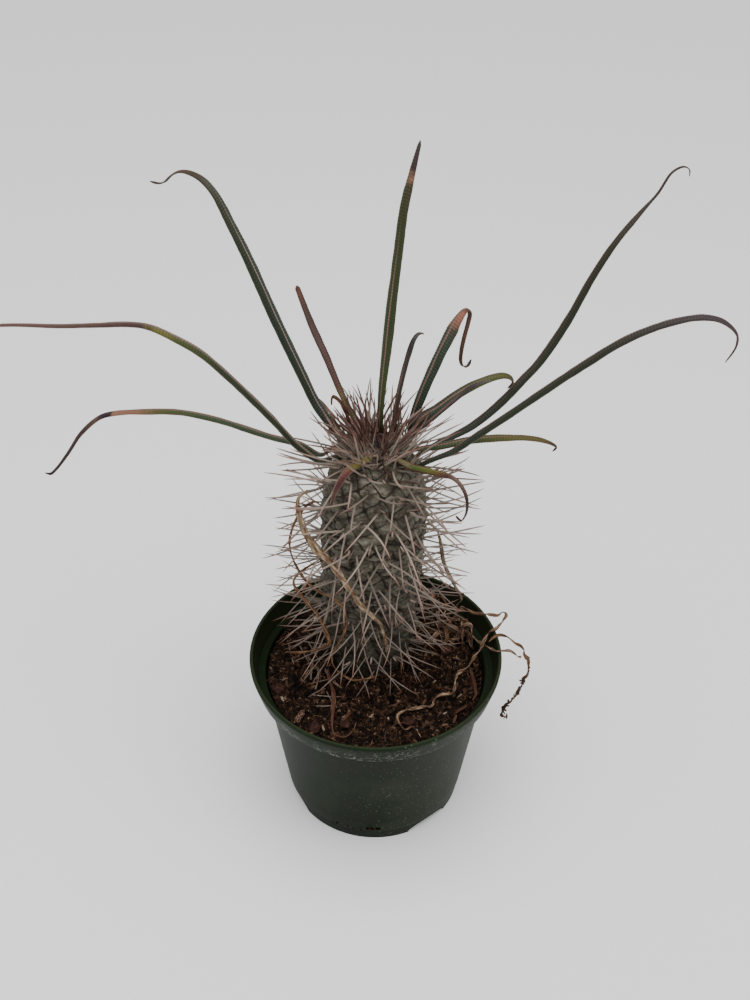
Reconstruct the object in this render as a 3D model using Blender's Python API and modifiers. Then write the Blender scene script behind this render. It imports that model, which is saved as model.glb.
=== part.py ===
"""A Madagascar palm in a nursery pot: a spiny stem, strap leaves, soil and pot.

Lengths are in metres and +Z is up. The origin is the centre of the pot's
underside, and the front of the plant looks along -Y. Lists of places that are
set by eye are in millimetres, and MM turns them to metres.
"""

import math

import bmesh
import bpy
import numpy as np
from mathutils import Matrix, Vector, noise
from mathutils.bvhtree import BVHTree

MM = 0.001
SEED = 11
SEAT_GAP = 0.0003
LET_DOWN_FROM = 0.012

# The pot is a 165 mm moulded plastic nursery pot.
POT_HEIGHT = 0.120
POT_SIDES = 48
RIM_RADIUS = 0.0825
RIM_LIP = 0.0026
BAND_HEIGHT = 0.0164
BAND_FOOT_RADIUS = 0.0790
WALL_TOP_RADIUS = 0.0735
WALL_FOOT_RADIUS = 0.0608
FOOT_RADIUS = 0.0592
FOOT_STEP_HEIGHT = 0.0090
WALL = 0.0014
FLOOR_UNDERSIDE = 0.0040
FLOOR_TOP = 0.0056
CENTRE_PAD_RADIUS = 0.0120
ARCH_HEIGHT = 0.0065
ARCH_HALF_WIDTH = 0.0155
ARCH_COMPASS = (-51.8, -155.0, 128.2, 25.0)
DRAIN_SLOT = (0.0095, 0.0060, 0.0030)
DRAIN_SLOT_PLACE = (-0.0005, -0.0614, 0.0125)

# The soil fills the pot up to the ledge under the rim band.
SOIL_LEVEL = 0.1028
SOIL_MOUND = 0.0040
SOIL_MOUND_REACH = 0.034
SOIL_DIP_RIGHT = 0.0028
SOIL_LUMP = 0.0007
SOIL_LUMP_SIZE = 0.011
SOIL_SIDES = 40
WELL_CLEARANCE = 0.0006
WELL_FLARE = 0.0012
WELL_SIDES = 28

# The stem leans a little: its axis runs from its foot to its crown.
STEM_FOOT = np.array((-5.3, 15.0, 107.0)) * MM
STEM_CROWN = np.array((-1.0, 19.0, 270.0)) * MM
STEM_OUTLINE_MM = (
    (15.0, 82.0), (20.0, 86.0), (22.5, 94.0), (24.0, 104.0), (26.8, 115.0), (29.0, 130.0),
    (30.3, 160.0), (31.2, 190.0), (31.6, 215.0), (30.6, 235.0), (27.8, 249.0), (23.0, 261.0),
    (16.5, 267.5), (9.0, 270.5), (4.0, 271.3),
)
GOLDEN_TURN = math.radians(137.50776)
TUBERCLE_AREA = 205.0 * MM * MM
DOME_START = 0.236
TUBERCLE_HEIGHT = 0.0021
TUBERCLE_CROWN = 0.30
BURIED_HEIGHT = 0.1045

# Spines stand in threes, two long ones that spread and a short one above them.
SPINE_RADIUS = 0.00085
SPINE_LENGTH = 0.037
SHORT_SPINE_SHARE = 0.42
SPINE_SPREAD = 0.0017
SPINE_SINK = 0.0012
SPINE_TRIES = 60
SPINE_OVER_SOIL = 0.0016
LOWEST_SPINES = 0.1095
YOUNGEST_LEFT_BARE = 6
SPINE_CLEARANCE = 0.00035

BLADE = 0.0009
LEAF_ARCH = 0.45
CROWN_HEART = 0.240
DRY_FACE = np.array((0.0, -0.6, 0.8))
STEP_ALONG = 0.018
TURN_ALONG = math.radians(32)
RUNNER_STEP_ALONG = 0.007
RUNNER_TURN_ALONG = math.radians(36)

POT_GREEN = (0.032, 0.052, 0.036)
SOIL_BROWN = (0.030, 0.018, 0.012)
STEM_GREY = (0.140, 0.125, 0.105)
LEAF_GREEN = (0.045, 0.085, 0.045)
LEAF_OLIVE = (0.150, 0.120, 0.040)
LEAF_RED = (0.180, 0.060, 0.050)
DRY_TAN = (0.300, 0.190, 0.100)
DRY_BROWN = (0.100, 0.050, 0.035)
BARK_RED = (0.080, 0.035, 0.025)
PEBBLE_CREAM = (0.450, 0.380, 0.300)

# Each leaf springs from the crown near root (x, y, z) in mm, heads along one compass bearing in
# degrees and passes the points of its route (reach, rise) in mm from that root. Its widths are
# (share of its length, width in mm), and lean tips its face towards the front.
LEAVES = (
    dict(name="leaf_far_left", colour=LEAF_GREEN, root=(-19.8, 15.7, 262), heading=174, lean=-20,
         widths=((0, 2.6), (0.12, 5.0), (0.45, 5.4), (0.62, 3.8), (1, 2.0)),
         route=((14, 0), (26, 8), (42, 28), (63, 52), (80, 69), (91, 76), (108, 84), (119, 85),
                (139, 83), (159, 81), (194, 79), (222, 73))),
    dict(name="leaf_low_left", colour=LEAF_GREEN, root=(-19.6, 23.2, 262), heading=165, lean=-12,
         widths=((0, 2.6), (0.15, 4.8), (0.55, 5.0), (0.70, 3.4), (1, 1.8)),
         route=((15, -3), (27, 2), (46, 4), (80, 10), (104, 11), (128, 7), (148, 2), (159, -3),
                (175, -19), (187, -37), (198, -52), (203, -57), (207, -57))),
    dict(name="leaf_high_left", colour=LEAF_GREEN, root=(-15.1, 30.0, 263), heading=140, lean=-10,
         widths=((0, 2.6), (0.15, 5.4), (0.50, 5.8), (0.72, 4.0), (1, 1.8)),
         route=((11, 4), (19, 10), (29, 19), (40, 35), (60, 65), (79, 96), (91, 113), (104, 130),
                (114, 136), (126, 137), (134, 135), (142, 130), (149, 124), (154, 122), (162, 121))),
    dict(name="leaf_back_left", colour=LEAF_RED, root=(-7.5, 35.4, 264), heading=125,
         widths=((0, 2.6), (0.20, 3.8), (0.80, 4.4), (1, 2.6)),
         route=((7, 6), (16, 12), (26, 20), (42, 37), (58, 52), (70, 66), (74, 71))),
    dict(name="leaf_upright", colour=LEAF_GREEN, root=(3.3, 27.0, 268), heading=65,
         widths=((0, 3.0), (0.22, 4.6), (0.42, 6.6), (0.60, 5.8), (0.85, 5.0), (1, 2.0)),
         route=((-3, 10), (-5, 22), (-3, 40), (2, 62), (8, 89), (16, 119), (22, 140), (32, 157),
                (42, 171))),
    dict(name="leaf_small_back", colour=LEAF_RED, root=(9.8, 28.3, 268), heading=48,
         widths=((0, 2.4), (0.25, 3.6), (0.80, 3.8), (1, 1.8)),
         route=((0, 9), (1, 25), (6, 44), (11, 57), (15, 64), (19, 66), (24, 64))),
    dict(name="leaf_folded", colour=LEAF_GREEN, root=(16.9, 34.3, 264), heading=47,
         widths=((0, 2.6), (0.22, 5.8), (0.50, 6.8), (0.62, 5.0), (0.80, 4.4), (1, 2.4)),
         route=((3, 10), (8, 20), (16, 33), (26, 47), (36, 59), (43, 66), (50, 69), (54, 65),
                (53, 59), (50, 50), (48, 41), (48, 34), (51, 29), (55, 28), (58, 31))),
    dict(name="leaf_arched_right", colour=LEAF_GREEN, root=(18.3, 31.5, 265), heading=18, lean=15,
         widths=((0, 2.6), (0.25, 5.6), (0.65, 5.4), (0.85, 4.0), (1, 2.2)),
         route=((3, 8), (7, 16), (18, 22), (29, 29), (40, 34), (52, 37), (59, 37), (64, 34),
                (65, 30), (62, 27))),
    dict(name="leaf_narrow_right", colour=LEAF_GREEN, root=(12.8, 24.2, 267), heading=10,
         widths=((0, 2.4), (0.25, 3.2), (0.80, 3.0), (1, 1.6)),
         route=((2, 7), (6, 9), (14, 14), (24, 23), (34, 32), (41, 38), (48, 41), (53, 42))),
    dict(name="leaf_high_right", colour=LEAF_GREEN, root=(26.8, 26.4, 262), heading=28, lean=20,
         widths=((0, 2.6), (0.15, 5.0), (0.60, 5.2), (0.80, 3.8), (0.88, 2.6), (1, 1.6)),
         route=((11, 5), (20, 7), (34, 10), (46, 13), (59, 24), (67, 31), (79, 41), (96, 64),
                (110, 89), (124, 109), (139, 124), (150, 134), (158, 145), (166, 147), (171, 144),
                (172, 140))),
    dict(name="leaf_long_right", colour=LEAF_GREEN, root=(27.3, 13.2, 263.5), heading=3, lean=20,
         widths=((0, 2.6), (0.15, 5.0), (0.55, 5.6), (0.82, 4.4), (0.93, 3.0), (1, 1.4)),
         route=((5, 3), (17, 9), (28, 18), (38, 26), (49, 35), (65, 48.5), (87, 66.5), (108, 82),
                (130, 92), (149, 95.5), (161, 92.5), (170, 84), (171, 76), (167, 66))),
    dict(name="leaf_low_right", colour=LEAF_OLIVE, root=(16.6, 15.9, 268), heading=8,
         widths=((0, 2.6), (0.22, 4.2), (0.55, 4.6), (0.85, 3.2), (1, 1.8)),
         route=((6, 3.5), (20, 4.5), (35, 7), (50, 8), (63, 6), (70, 7), (81, 4), (88, 0), (91, -3),
                (89, -6))),
    dict(name="leaf_front_right", colour=LEAF_OLIVE, root=(8.5, 11.2, 270), heading=-45,
         widths=((0, 2.8), (0.20, 4.4), (0.50, 4.4), (0.62, 2.4), (1, 1.4)),
         route=((7, 5), (16, 7), (31, 9), (47, 11), (53, 9), (58, 3), (59, -7), (55, -16), (51, -15))),
    dict(name="leaf_front_left", colour=LEAF_RED, root=(-1.1, 12.9, 270), heading=228,
         widths=((0, 3.0), (0.30, 4.4), (0.60, 3.8), (1, 1.2)),
         route=((6, 4.5), (12, 5.5), (20, 4.5), (27, 1), (31, -3), (35, -8), (38, -16))),
)

# Withered blades and stalks that hang in the spines, cross the soil or hang over the rim: their
# points are (x, y, z) in mm and their widths as above.
DRY_BLADES = (
    dict(name="dry_leaf_long", colour=DRY_TAN,
         widths=((0, 1.2), (0.14, 3.2), (0.35, 4.2), (0.62, 3.2), (0.80, 2.0), (1, 1.4)),
         route=((-41, 4, 250), (-46, 0, 248), (-47, -2, 245), (-44, -8, 231), (-37, -14, 221),
                (-26, -20, 211), (-17, -24, 198), (-8, -26, 183), (1, -27, 173), (5, -25, 159),
                (7, -21, 141), (8.5, -13.9, 133))),
    dict(name="dry_leaf_looped", colour=DRY_BROWN, widths=((0, 1.4), (0.3, 2.0), (0.7, 1.8), (1, 1.4)),
         route=((-33.4, 9.5, 237), (-40, 7, 238), (-48, 2, 230), (-53, 0, 214), (-51, -4, 202),
                (-43, -10, 190), (-34, -16, 186), (-26, -20, 185), (-20, -24, 180), (-18, -25, 169),
                (-20, -24, 159), (-25, -23, 146), (-28, -23, 139), (-27, -25, 132), (-22, -28, 127),
                (-14, -31, 125), (-5, -31, 126), (3, -29, 128))),
    dict(name="dry_leaf_side", colour=DRY_TAN, widths=((0, 1.0), (0.5, 2.8), (1, 1.6)),
         route=((-33.2, 2.5, 196), (-43, -3, 195), (-51, -8, 188), (-43, -14, 176), (-36, -19, 170),
                (-31, -22.5, 158), (-29, -22.5, 149), (-36, -19, 140), (-46, -16, 134), (-58, -13, 131))),
    dict(name="dry_leaf_on_soil", colour=DRY_BROWN, lies=0.9,
         widths=((0, 1.4), (0.3, 3.0), (0.7, 2.4), (1, 1.2)),
         route=((-31, -12, 117), (-30, -17, 112), (-27, -25, 109), (-27, -38, 107), (-27, -52, 106.5),
                (-25, -58, 106.5), (-19, -60, 106.5), (-14, -55, 106.5), (-12, -48, 106.5))),
    dict(name="dry_leaf_right_wall", colour=DRY_BROWN, lies=1.0,
         widths=((0, 1.6), (0.4, 2.8), (1, 1.2)),
         route=((63, 2, 104), (64, -7, 103.5), (65, -15, 103.5), (65, -22, 103.5), (63, -27, 103.5))),
    dict(name="dry_leaf_crumpled", colour=DRY_TAN, lies=0.7,
         widths=((0, 3.0), (0.4, 8.0), (0.7, 5.0), (1, 2.0)),
         route=((44, 31, 107.5), (48, 33, 109), (52, 32, 110.5), (56, 31, 109), (61, 30, 107))),
    dict(name="dry_leaf_hanging", colour=DRY_TAN, widths=((0, 1.4), (0.4, 2.8), (1, 1.6)),
         route=((31.2, 17, 215), (37, 18.5, 209), (39.5, 19.5, 200), (43, 21.5, 179), (46, 23.5, 169),
                (52, 27.5, 152), (56, 29.5, 142), (57, 30.5, 137), (55, 32.5, 132), (54, 34.5, 127))),
    dict(name="withered_thread", colour=DRY_BROWN, widths=((0, 1.2), (1, 1.0)),
         route=((10, 22, 273.2), (6, 13, 275.2), (4, 7, 275), (3, 1, 273), (5, -3, 270), (10, -7, 267),
                (16, -8, 266), (23, -8, 265))),
    dict(name="withered_hook_high", colour=LEAF_RED, widths=((0, 1.8), (1, 1.2)),
         route=((-13.6, 35.2, 267.4), (-15, 35.6, 271), (-17, 36, 277), (-20, 37.5, 286), (-24, 41, 290),
                (-27, 42, 291), (-28, 42, 288), (-28, 42, 285))),
    dict(name="withered_hook_low", colour=DRY_BROWN, widths=((0, 1.6), (1, 1.2)),
         route=((-20.5, 25.8, 267.2), (-22, 26, 269), (-23.5, 26.3, 270.5), (-25, 28, 273), (-28, 29, 276),
                (-31, 29, 275))),
    dict(name="withered_blade", colour=DRY_BROWN, widths=((0, 1.6), (0.5, 2.0), (1, 1.2)),
         route=((-18.2, 38, 259.4), (-21, 40.8, 264), (-25, 43.5, 270), (-31, 49.5, 278), (-41, 55.5, 284),
                (-46, 57, 289))),
    dict(name="young_leaf", colour=LEAF_RED, widths=((0, 2.2), (0.5, 2.2), (1, 1.4)),
         route=((1, 17, 273), (0, 17, 278), (0.5, 17, 281), (2.5, 16.5, 281.5), (4.5, 15, 279),
                (5.5, 13.5, 276))),
)
DRY_RUNNERS = (
    dict(name="dry_runner_long", radius=0.0009,
         route=((57, 38, 123), (61, 35, 125), (66, 31, 125), (71, 30, 125.5), (77, 29.5, 125),
                (82, 29, 125), (85, 31, 126), (87.5, 30, 125), (85.5, 26, 123.5), (80.5, 20, 122),
                (75, 16, 121.5), (73, 13, 120.5), (71, 10, 118.5), (69.5, 7, 115.5), (65, 3, 111),
                (60.5, -3, 108), (54.5, -7, 107), (52.5, -12, 106.5), (51.5, -20, 106.5),
                (49.5, -25, 107), (42, -27, 108), (38, -30, 107), (36.5, -35, 106.5),
                (31.5, -36, 106.5), (27, -37, 106.5), (20, -39, 106.5), (14.5, -43, 106.5),
                (15, -49, 106.5), (19, -55, 106.5), (23, -52.5, 106.5), (25.5, -55, 106.5),
                (28.5, -60.5, 106.5))),
    dict(name="dry_runner_short", radius=0.0009,
         route=((58, 32, 118), (61, 31, 117), (63, 30, 114), (62, 28, 110.5), (64, 25, 110),
                (69, 17, 112), (71.5, 11, 115.5), (75, 5, 118.5), (79, -1, 121.4), (82.7, -0.5, 121.4),
                (87.5, 0, 121), (91, -1, 119.5), (93.3, -2.5, 118), (95.3, -1, 116.5))),
    dict(name="dry_runner_tail", radius=0.0009,
         route=((74.5, 8, 121), (78.4, 12, 121.6), (82.5, 14, 121.6), (87, 13, 121), (90, 11, 120),
                (92.3, 9, 119), (95.4, 8, 118), (97.7, 5, 117), (98, 2.5, 115), (100.5, 1, 112),
                (101, 0, 108), (100.7, -3, 102), (98.3, -3.2, 98), (97.3, -5, 93), (95.3, -5.2, 88),
                (93.3, -6.6, 84), (90.2, -7, 79), (88, -7, 77), (86.8, -7, 71), (85.5, -7.3, 67),
                (89, -8, 65))),
)

# Loose bits on the soil: place (x, y) and size (x, y, z) in mm, and their turn in degrees.
SOIL_BITS = (
    dict(name="bark_chip_left", colour=BARK_RED, place=(-63, -20), size=(9, 10, 2.6), turn=20),
    dict(name="bark_chip_pale", colour=BARK_RED, place=(-48, -44), size=(5, 13, 3.2), turn=-25),
    dict(name="bark_chip_dark", colour=BARK_RED, place=(-38, -52), size=(8, 10, 2.6), turn=10),
    dict(name="bark_chip_front", colour=BARK_RED, place=(-19, -50), size=(8, 7, 2.2), turn=-15),
    dict(name="bark_chip_right", colour=BARK_RED, place=(21.5, -46), size=(9, 8, 2.2), turn=30),
    dict(name="clod", colour=SOIL_BROWN, place=(47, 15), size=(8, 7, 5), turn=0),
    dict(name="pebble", colour=PEBBLE_CREAM, place=(-41, 43), size=(4, 5, 3), turn=0),
)


def clear_scene():
    for old in list(bpy.data.objects):
        bpy.data.objects.remove(old, do_unlink=True)


def new_collection(name):
    collection = bpy.data.collections.new(name)
    bpy.context.scene.collection.children.link(collection)
    return collection


def paint(piece, colour, roughness):
    """Give a piece a Principled material of its own."""
    material = bpy.data.materials.new(piece.name)
    material.use_nodes = True
    shader = material.node_tree.nodes["Principled BSDF"]
    shader.inputs["Base Color"].default_value = (*colour, 1.0)
    shader.inputs["Roughness"].default_value = roughness
    shader.inputs["Metallic"].default_value = 0.0
    piece.data.materials.append(material)


def add_piece(name, bm, collection):
    """Make an object from a bmesh, which it uses up."""
    mesh = bpy.data.meshes.new(name)
    bm.to_mesh(mesh)
    bm.free()
    piece = bpy.data.objects.new(name, mesh)
    collection.objects.link(piece)
    return piece


def apply_modifiers(piece):
    """Replace a piece's mesh with the one its modifiers give."""
    evaluated = piece.evaluated_get(bpy.context.evaluated_depsgraph_get())
    mesh = bpy.data.meshes.new_from_object(evaluated)
    piece.modifiers.clear()
    piece.data = mesh


def turned(name, outline, sides, collection):
    """Turn an outline of (radius, height) round the Z axis with a Screw modifier."""
    bm = bmesh.new()
    points = [bm.verts.new((radius, 0.0, height)) for radius, height in outline]
    for start, end in zip(points, points[1:]):
        bm.edges.new((start, end))
    piece = add_piece(name, bm, collection)
    screw = piece.modifiers.new("Turn", "SCREW")
    screw.steps = sides
    screw.render_steps = sides
    screw.use_merge_vertices = True
    screw.merge_threshold = 0.0001
    screw.use_smooth_shade = True
    return piece


def cut(piece, cutter, cutters):
    """Cut a piece with another solid, which is kept as a wire guide."""
    if cutter.name not in cutters.objects:
        cutters.objects.link(cutter)
    cutter.hide_render = True
    cutter.display_type = "WIRE"
    modifier = piece.modifiers.new("Cut " + cutter.name, "BOOLEAN")
    modifier.operation = "DIFFERENCE"
    modifier.solver = "EXACT"
    modifier.object = cutter


def new_solid(name, build):
    """Make an unlinked object from what build adds to an empty bmesh."""
    bm = bmesh.new()
    build(bm)
    mesh = bpy.data.meshes.new(name)
    bm.to_mesh(mesh)
    bm.free()
    return bpy.data.objects.new(name, mesh)


def smooth_route(points, spacing=0.0005):
    """Points about half a millimetre apart on a smooth curve through the given ones."""
    given = np.array(points, float)
    ends = np.vstack([2 * given[0] - given[1], given, 2 * given[-1] - given[-2]])
    curve = []
    for a, b, c, d in zip(ends, ends[1:], ends[2:], ends[3:]):
        t0 = 0.0
        t1 = t0 + np.linalg.norm(b - a) ** 0.5
        t2 = t1 + np.linalg.norm(c - b) ** 0.5
        t3 = t2 + np.linalg.norm(d - c) ** 0.5
        count = max(2, int(np.linalg.norm(c - b) / spacing))
        t = np.linspace(t1, t2, count, endpoint=False)[:, None]
        ab = (t1 - t) / (t1 - t0) * a + (t - t0) / (t1 - t0) * b
        bc = (t2 - t) / (t2 - t1) * b + (t - t1) / (t2 - t1) * c
        cd = (t3 - t) / (t3 - t2) * c + (t - t2) / (t3 - t2) * d
        abc = (t2 - t) / (t2 - t0) * ab + (t - t0) / (t2 - t0) * bc
        bcd = (t3 - t) / (t3 - t1) * bc + (t - t1) / (t3 - t1) * cd
        curve.append((t2 - t) / (t2 - t1) * abc + (t - t1) / (t2 - t1) * bcd)
    return np.vstack(curve + [given[-1:]])


def thin_route(curve, longest, turn):
    """Keep the points a curve needs: no step over longest, and no bend over turn."""
    steps = np.diff(curve, axis=0)
    lengths = np.linalg.norm(steps, axis=1)
    heads = steps / lengths[:, None]
    bends = np.arccos(np.clip(np.sum(heads[1:] * heads[:-1], axis=1), -1.0, 1.0))
    need = np.concatenate([[0.0], np.cumsum(lengths / longest + np.append(bends, 0.0) / turn)])
    count = max(3, math.ceil(need[-1]))
    marks = np.linspace(0.0, need[-1], count + 1)
    return np.stack([np.interp(marks, need, curve[:, axis]) for axis in range(3)], axis=1)


def solid_of(piece):
    """The corners and faces of a piece as its modifiers leave it."""
    solid = piece.evaluated_get(bpy.context.evaluated_depsgraph_get())
    mesh = solid.to_mesh()
    corners = [vertex.co.copy() for vertex in mesh.vertices]
    faces = [tuple(face.vertices) for face in mesh.polygons]
    solid.to_mesh_clear()
    return corners, faces


def push_clear(piece, tree, way):
    """Move a piece along way until it no longer cuts what the tree holds. Returns the move."""
    corners, faces = solid_of(piece)
    moved = 0.0
    while BVHTree.FromPolygons([corner + way * moved for corner in corners], faces).overlap(tree):
        moved += SEAT_GAP / 2
    if moved > 0.0:
        moved += 2 * SEAT_GAP
    piece.location = way * moved
    return np.array(way * moved)


def let_down(points, size, grounds):
    """Lower a route until something of that size lies just clear of what is under it."""
    count = int(1000 * np.linalg.norm(np.diff(points, axis=0), axis=1).sum())
    shares = shares_along(points)
    marks = np.linspace(0.0, 1.0, count)
    raised = np.stack([np.interp(marks, shares, points[:, axis]) for axis in range(3)], axis=1)
    raised[:, 2] += LET_DOWN_FROM
    gaps = []
    for point in raised:
        hits = [ground.ray_cast(Vector(point), Vector((0.0, 0.0, -1.0))) for ground in grounds]
        gaps += [hit[3] for hit in hits if hit[0] is not None]
    return points + np.array((0.0, 0.0, LET_DOWN_FROM + size + SEAT_GAP - min(gaps)))


def shares_along(points):
    """How far along the whole length each point lies, from 0 to 1."""
    travelled = np.concatenate([[0.0], np.cumsum(np.linalg.norm(np.diff(points, axis=0), axis=1))])
    return travelled / travelled[-1]


def blade(name, points, widths, side, arch, collection):
    """A leaf blade: a strip that is high along its midrib, made solid with Solidify."""
    shares = shares_along(points)
    table = np.array(widths, float)
    half = np.interp(shares, table[:, 0], table[:, 1]) * MM / 2
    heads = np.gradient(points, axis=0)
    heads /= np.linalg.norm(heads, axis=1)[:, None]
    bm = bmesh.new()
    rows = []
    for point, head, reach in zip(points, heads, half):
        side = side - head * np.dot(side, head)
        side = side / np.linalg.norm(side)
        up = np.cross(head, side)
        middle = point + up * reach * arch
        rows.append([bm.verts.new(place) for place in (point - side * reach, middle, point + side * reach)])
    for low, high in zip(rows, rows[1:]):
        for left in (0, 1):
            bm.faces.new((low[left], low[left + 1], high[left + 1]))
            bm.faces.new((low[left], high[left + 1], high[left]))
    piece = add_piece(name, bm, collection)
    solid = piece.modifiers.new("Thickness", "SOLIDIFY")
    solid.thickness = BLADE
    solid.offset = 0.0
    return piece


def make_pot(parts, cutters):
    """The pot is one turned outline with its drain arches and slot cut out."""
    band_foot = POT_HEIGHT - BAND_HEIGHT
    step = FOOT_STEP_HEIGHT
    wall_foot_inside = WALL_FOOT_RADIUS - WALL
    ledge_inside = WALL_TOP_RADIUS - WALL
    band_inside = BAND_FOOT_RADIUS - WALL
    lip_inside = RIM_RADIUS - RIM_LIP
    outline = (
        (0.0, FLOOR_TOP),
        (wall_foot_inside - 0.002, FLOOR_TOP),
        (wall_foot_inside, FLOOR_TOP + 0.002),
        (ledge_inside, band_foot - 0.001),
        (ledge_inside + 0.0006, band_foot + WALL),
        (band_inside, band_foot + WALL + 0.0003),
        (lip_inside, POT_HEIGHT - 0.0022),
        (lip_inside + 0.0003, POT_HEIGHT - 0.0005),
        (lip_inside + 0.0010, POT_HEIGHT),
        (RIM_RADIUS - 0.0008, POT_HEIGHT),
        (RIM_RADIUS, POT_HEIGHT - 0.0008),
        (RIM_RADIUS - 0.0002, POT_HEIGHT - 0.0030),
        (BAND_FOOT_RADIUS, band_foot + 0.0008),
        (BAND_FOOT_RADIUS - 0.0010, band_foot),
        (WALL_TOP_RADIUS, band_foot - 0.0006),
        (WALL_FOOT_RADIUS, step + 0.0006),
        (FOOT_RADIUS + 0.0006, step - 0.0004),
        (FOOT_RADIUS, 0.0),
        (FOOT_RADIUS - 0.0018, 0.0),
        (FOOT_RADIUS - 0.0018, FLOOR_UNDERSIDE),
        (CENTRE_PAD_RADIUS + 0.001, FLOOR_UNDERSIDE),
        (CENTRE_PAD_RADIUS, 0.0),
        (0.0, 0.0),
    )
    pot = turned("pot", outline, POT_SIDES, parts)
    for number, compass in enumerate(ARCH_COMPASS):
        turn = Matrix.Rotation(math.radians(compass), 4, "Z")
        shape = Matrix.Diagonal((1.0, ARCH_HALF_WIDTH, ARCH_HEIGHT, 1.0))
        lie = Matrix.Translation((FOOT_RADIUS, 0.0, 0.0)) @ shape @ Matrix.Rotation(math.pi / 2, 4, "Y")
        cutter = new_solid(f"drain_arch_{number}", lambda bm: bmesh.ops.create_cone(
            bm, cap_ends=True, segments=24, radius1=1.0, radius2=1.0, depth=0.020, matrix=turn @ lie))
        cut(pot, cutter, cutters)
    slot = new_solid("drain_slot", lambda bm: bmesh.ops.create_cube(
        bm, size=1.0, matrix=Matrix.Translation(DRAIN_SLOT_PLACE) @ Matrix.Diagonal((*DRAIN_SLOT, 1.0))))
    cut(pot, slot, cutters)
    paint(pot, POT_GREEN, 0.42)
    return pot


def stem_axis(height):
    """The centre of the stem at a height, or at each of several heights."""
    share = (np.asarray(height) - STEM_FOOT[2]) / (STEM_CROWN[2] - STEM_FOOT[2])
    return STEM_FOOT[:2] + np.multiply.outer(share, STEM_CROWN[:2] - STEM_FOOT[:2])


def soil_height(x, y):
    """The soil is lumpy, highest round the stem, and it dips along the right wall."""
    away = math.hypot(x - STEM_FOOT[0], y - STEM_FOOT[1])
    mound = SOIL_MOUND * math.exp(-((away / SOIL_MOUND_REACH) ** 2))
    right = min(max((x - 0.030) / 0.035, 0.0), 1.0)
    lump = SOIL_LUMP * noise.noise(Vector((x, y, 0.0)) / SOIL_LUMP_SIZE)
    return SOIL_LEVEL + mound - SOIL_DIP_RIGHT * right * right + lump


def stem_outline():
    """The smooth outline of the stem without its tubercles: rows of (radius, 0, height)."""
    return smooth_route([(radius * MM, 0.0, height * MM) for radius, height in STEM_OUTLINE_MM])


def well_outline():
    """The hole for the stem follows the stem's outline a little way off, and widens to the top."""
    buried = [row for row in stem_outline()[::9] if row[2] < BURIED_HEIGHT]
    depth = buried[-1][2] - buried[0][2]
    buried = [(radius + WELL_CLEARANCE + WELL_FLARE * (height - buried[0][2]) / depth, height)
              for radius, _, height in buried]
    floor = buried[0][1] - SEAT_GAP
    mouth = (buried[-1][0] + 1.6 * TUBERCLE_HEIGHT, buried[-1][1] + 0.0025)
    top = SOIL_LEVEL + 2 * SOIL_MOUND
    return [(0.0, top), (mouth[0], top), mouth] + buried[:0:-1] + [(buried[0][0], floor), (0.0, floor)]


def make_soil(parts, cutters):
    """The soil is a turned plug whose top is raised by soil_height, with a well for the stem."""
    wall_slope = (WALL_TOP_RADIUS - WALL_FOOT_RADIUS) / (POT_HEIGHT - BAND_HEIGHT - FOOT_STEP_HEIGHT)
    low_radius = WALL_FOOT_RADIUS - WALL - 2 * SEAT_GAP - 0.0021
    top_radius = low_radius + 0.0021 + wall_slope * (SOIL_LEVEL - FLOOR_TOP) - 0.0006
    rings = (0.012, 0.024, 0.034, 0.043, 0.051, 0.058, 0.064, 0.069)
    outline = [(0.0, SOIL_LEVEL)] + [(ring, SOIL_LEVEL) for ring in rings]
    outline += [(top_radius, SOIL_LEVEL), (low_radius + 0.0021, FLOOR_TOP + 0.0024)]
    outline += [(low_radius, FLOOR_TOP + SEAT_GAP), (0.0, FLOOR_TOP + SEAT_GAP)]
    soil = turned("soil", outline, SOIL_SIDES, parts)
    apply_modifiers(soil)
    edge_height = POT_HEIGHT - BAND_HEIGHT - 0.0012
    for vertex in soil.data.vertices:
        if vertex.co.z > SOIL_LEVEL - 0.001:
            vertex.co.z = min(soil_height(vertex.co.x, vertex.co.y),
                              edge_height if vertex.co.xy.length > 0.070 else 1.0)
    well = turned("stem_well", well_outline(), WELL_SIDES, cutters)
    apply_modifiers(well)
    for vertex in well.data.vertices:
        vertex.co.xy += Vector(stem_axis(vertex.co.z))
    cut(soil, well, cutters)
    paint(soil, SOIL_BROWN, 0.95)
    return soil


def stem_table():
    """The stem's outline with the number of tubercles that fit below each height."""
    radius, _, height = stem_outline().T
    step = np.hypot(np.diff(radius), np.diff(height))
    middle = (radius[1:] + radius[:-1]) / 2
    widest = radius.max()
    on_dome = (height[1:] > DOME_START) * (middle < widest)
    area = TUBERCLE_AREA * np.where(on_dome, (middle / widest) ** 2, 1.0)
    count = np.concatenate([[0.0], np.cumsum(2 * math.pi * middle * step / area)])
    slope = np.stack([np.gradient(height), -np.gradient(radius)], axis=1)
    slope /= np.linalg.norm(slope, axis=1)[:, None]
    return dict(count=count, radius=radius, height=height, out=slope[:, 0], up=slope[:, 1])


def turn_of(count):
    """The turn between tubercles that many apart, taken the short way round."""
    turn = count * GOLDEN_TURN
    return (turn + math.pi) % (2 * math.pi) - math.pi


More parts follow.
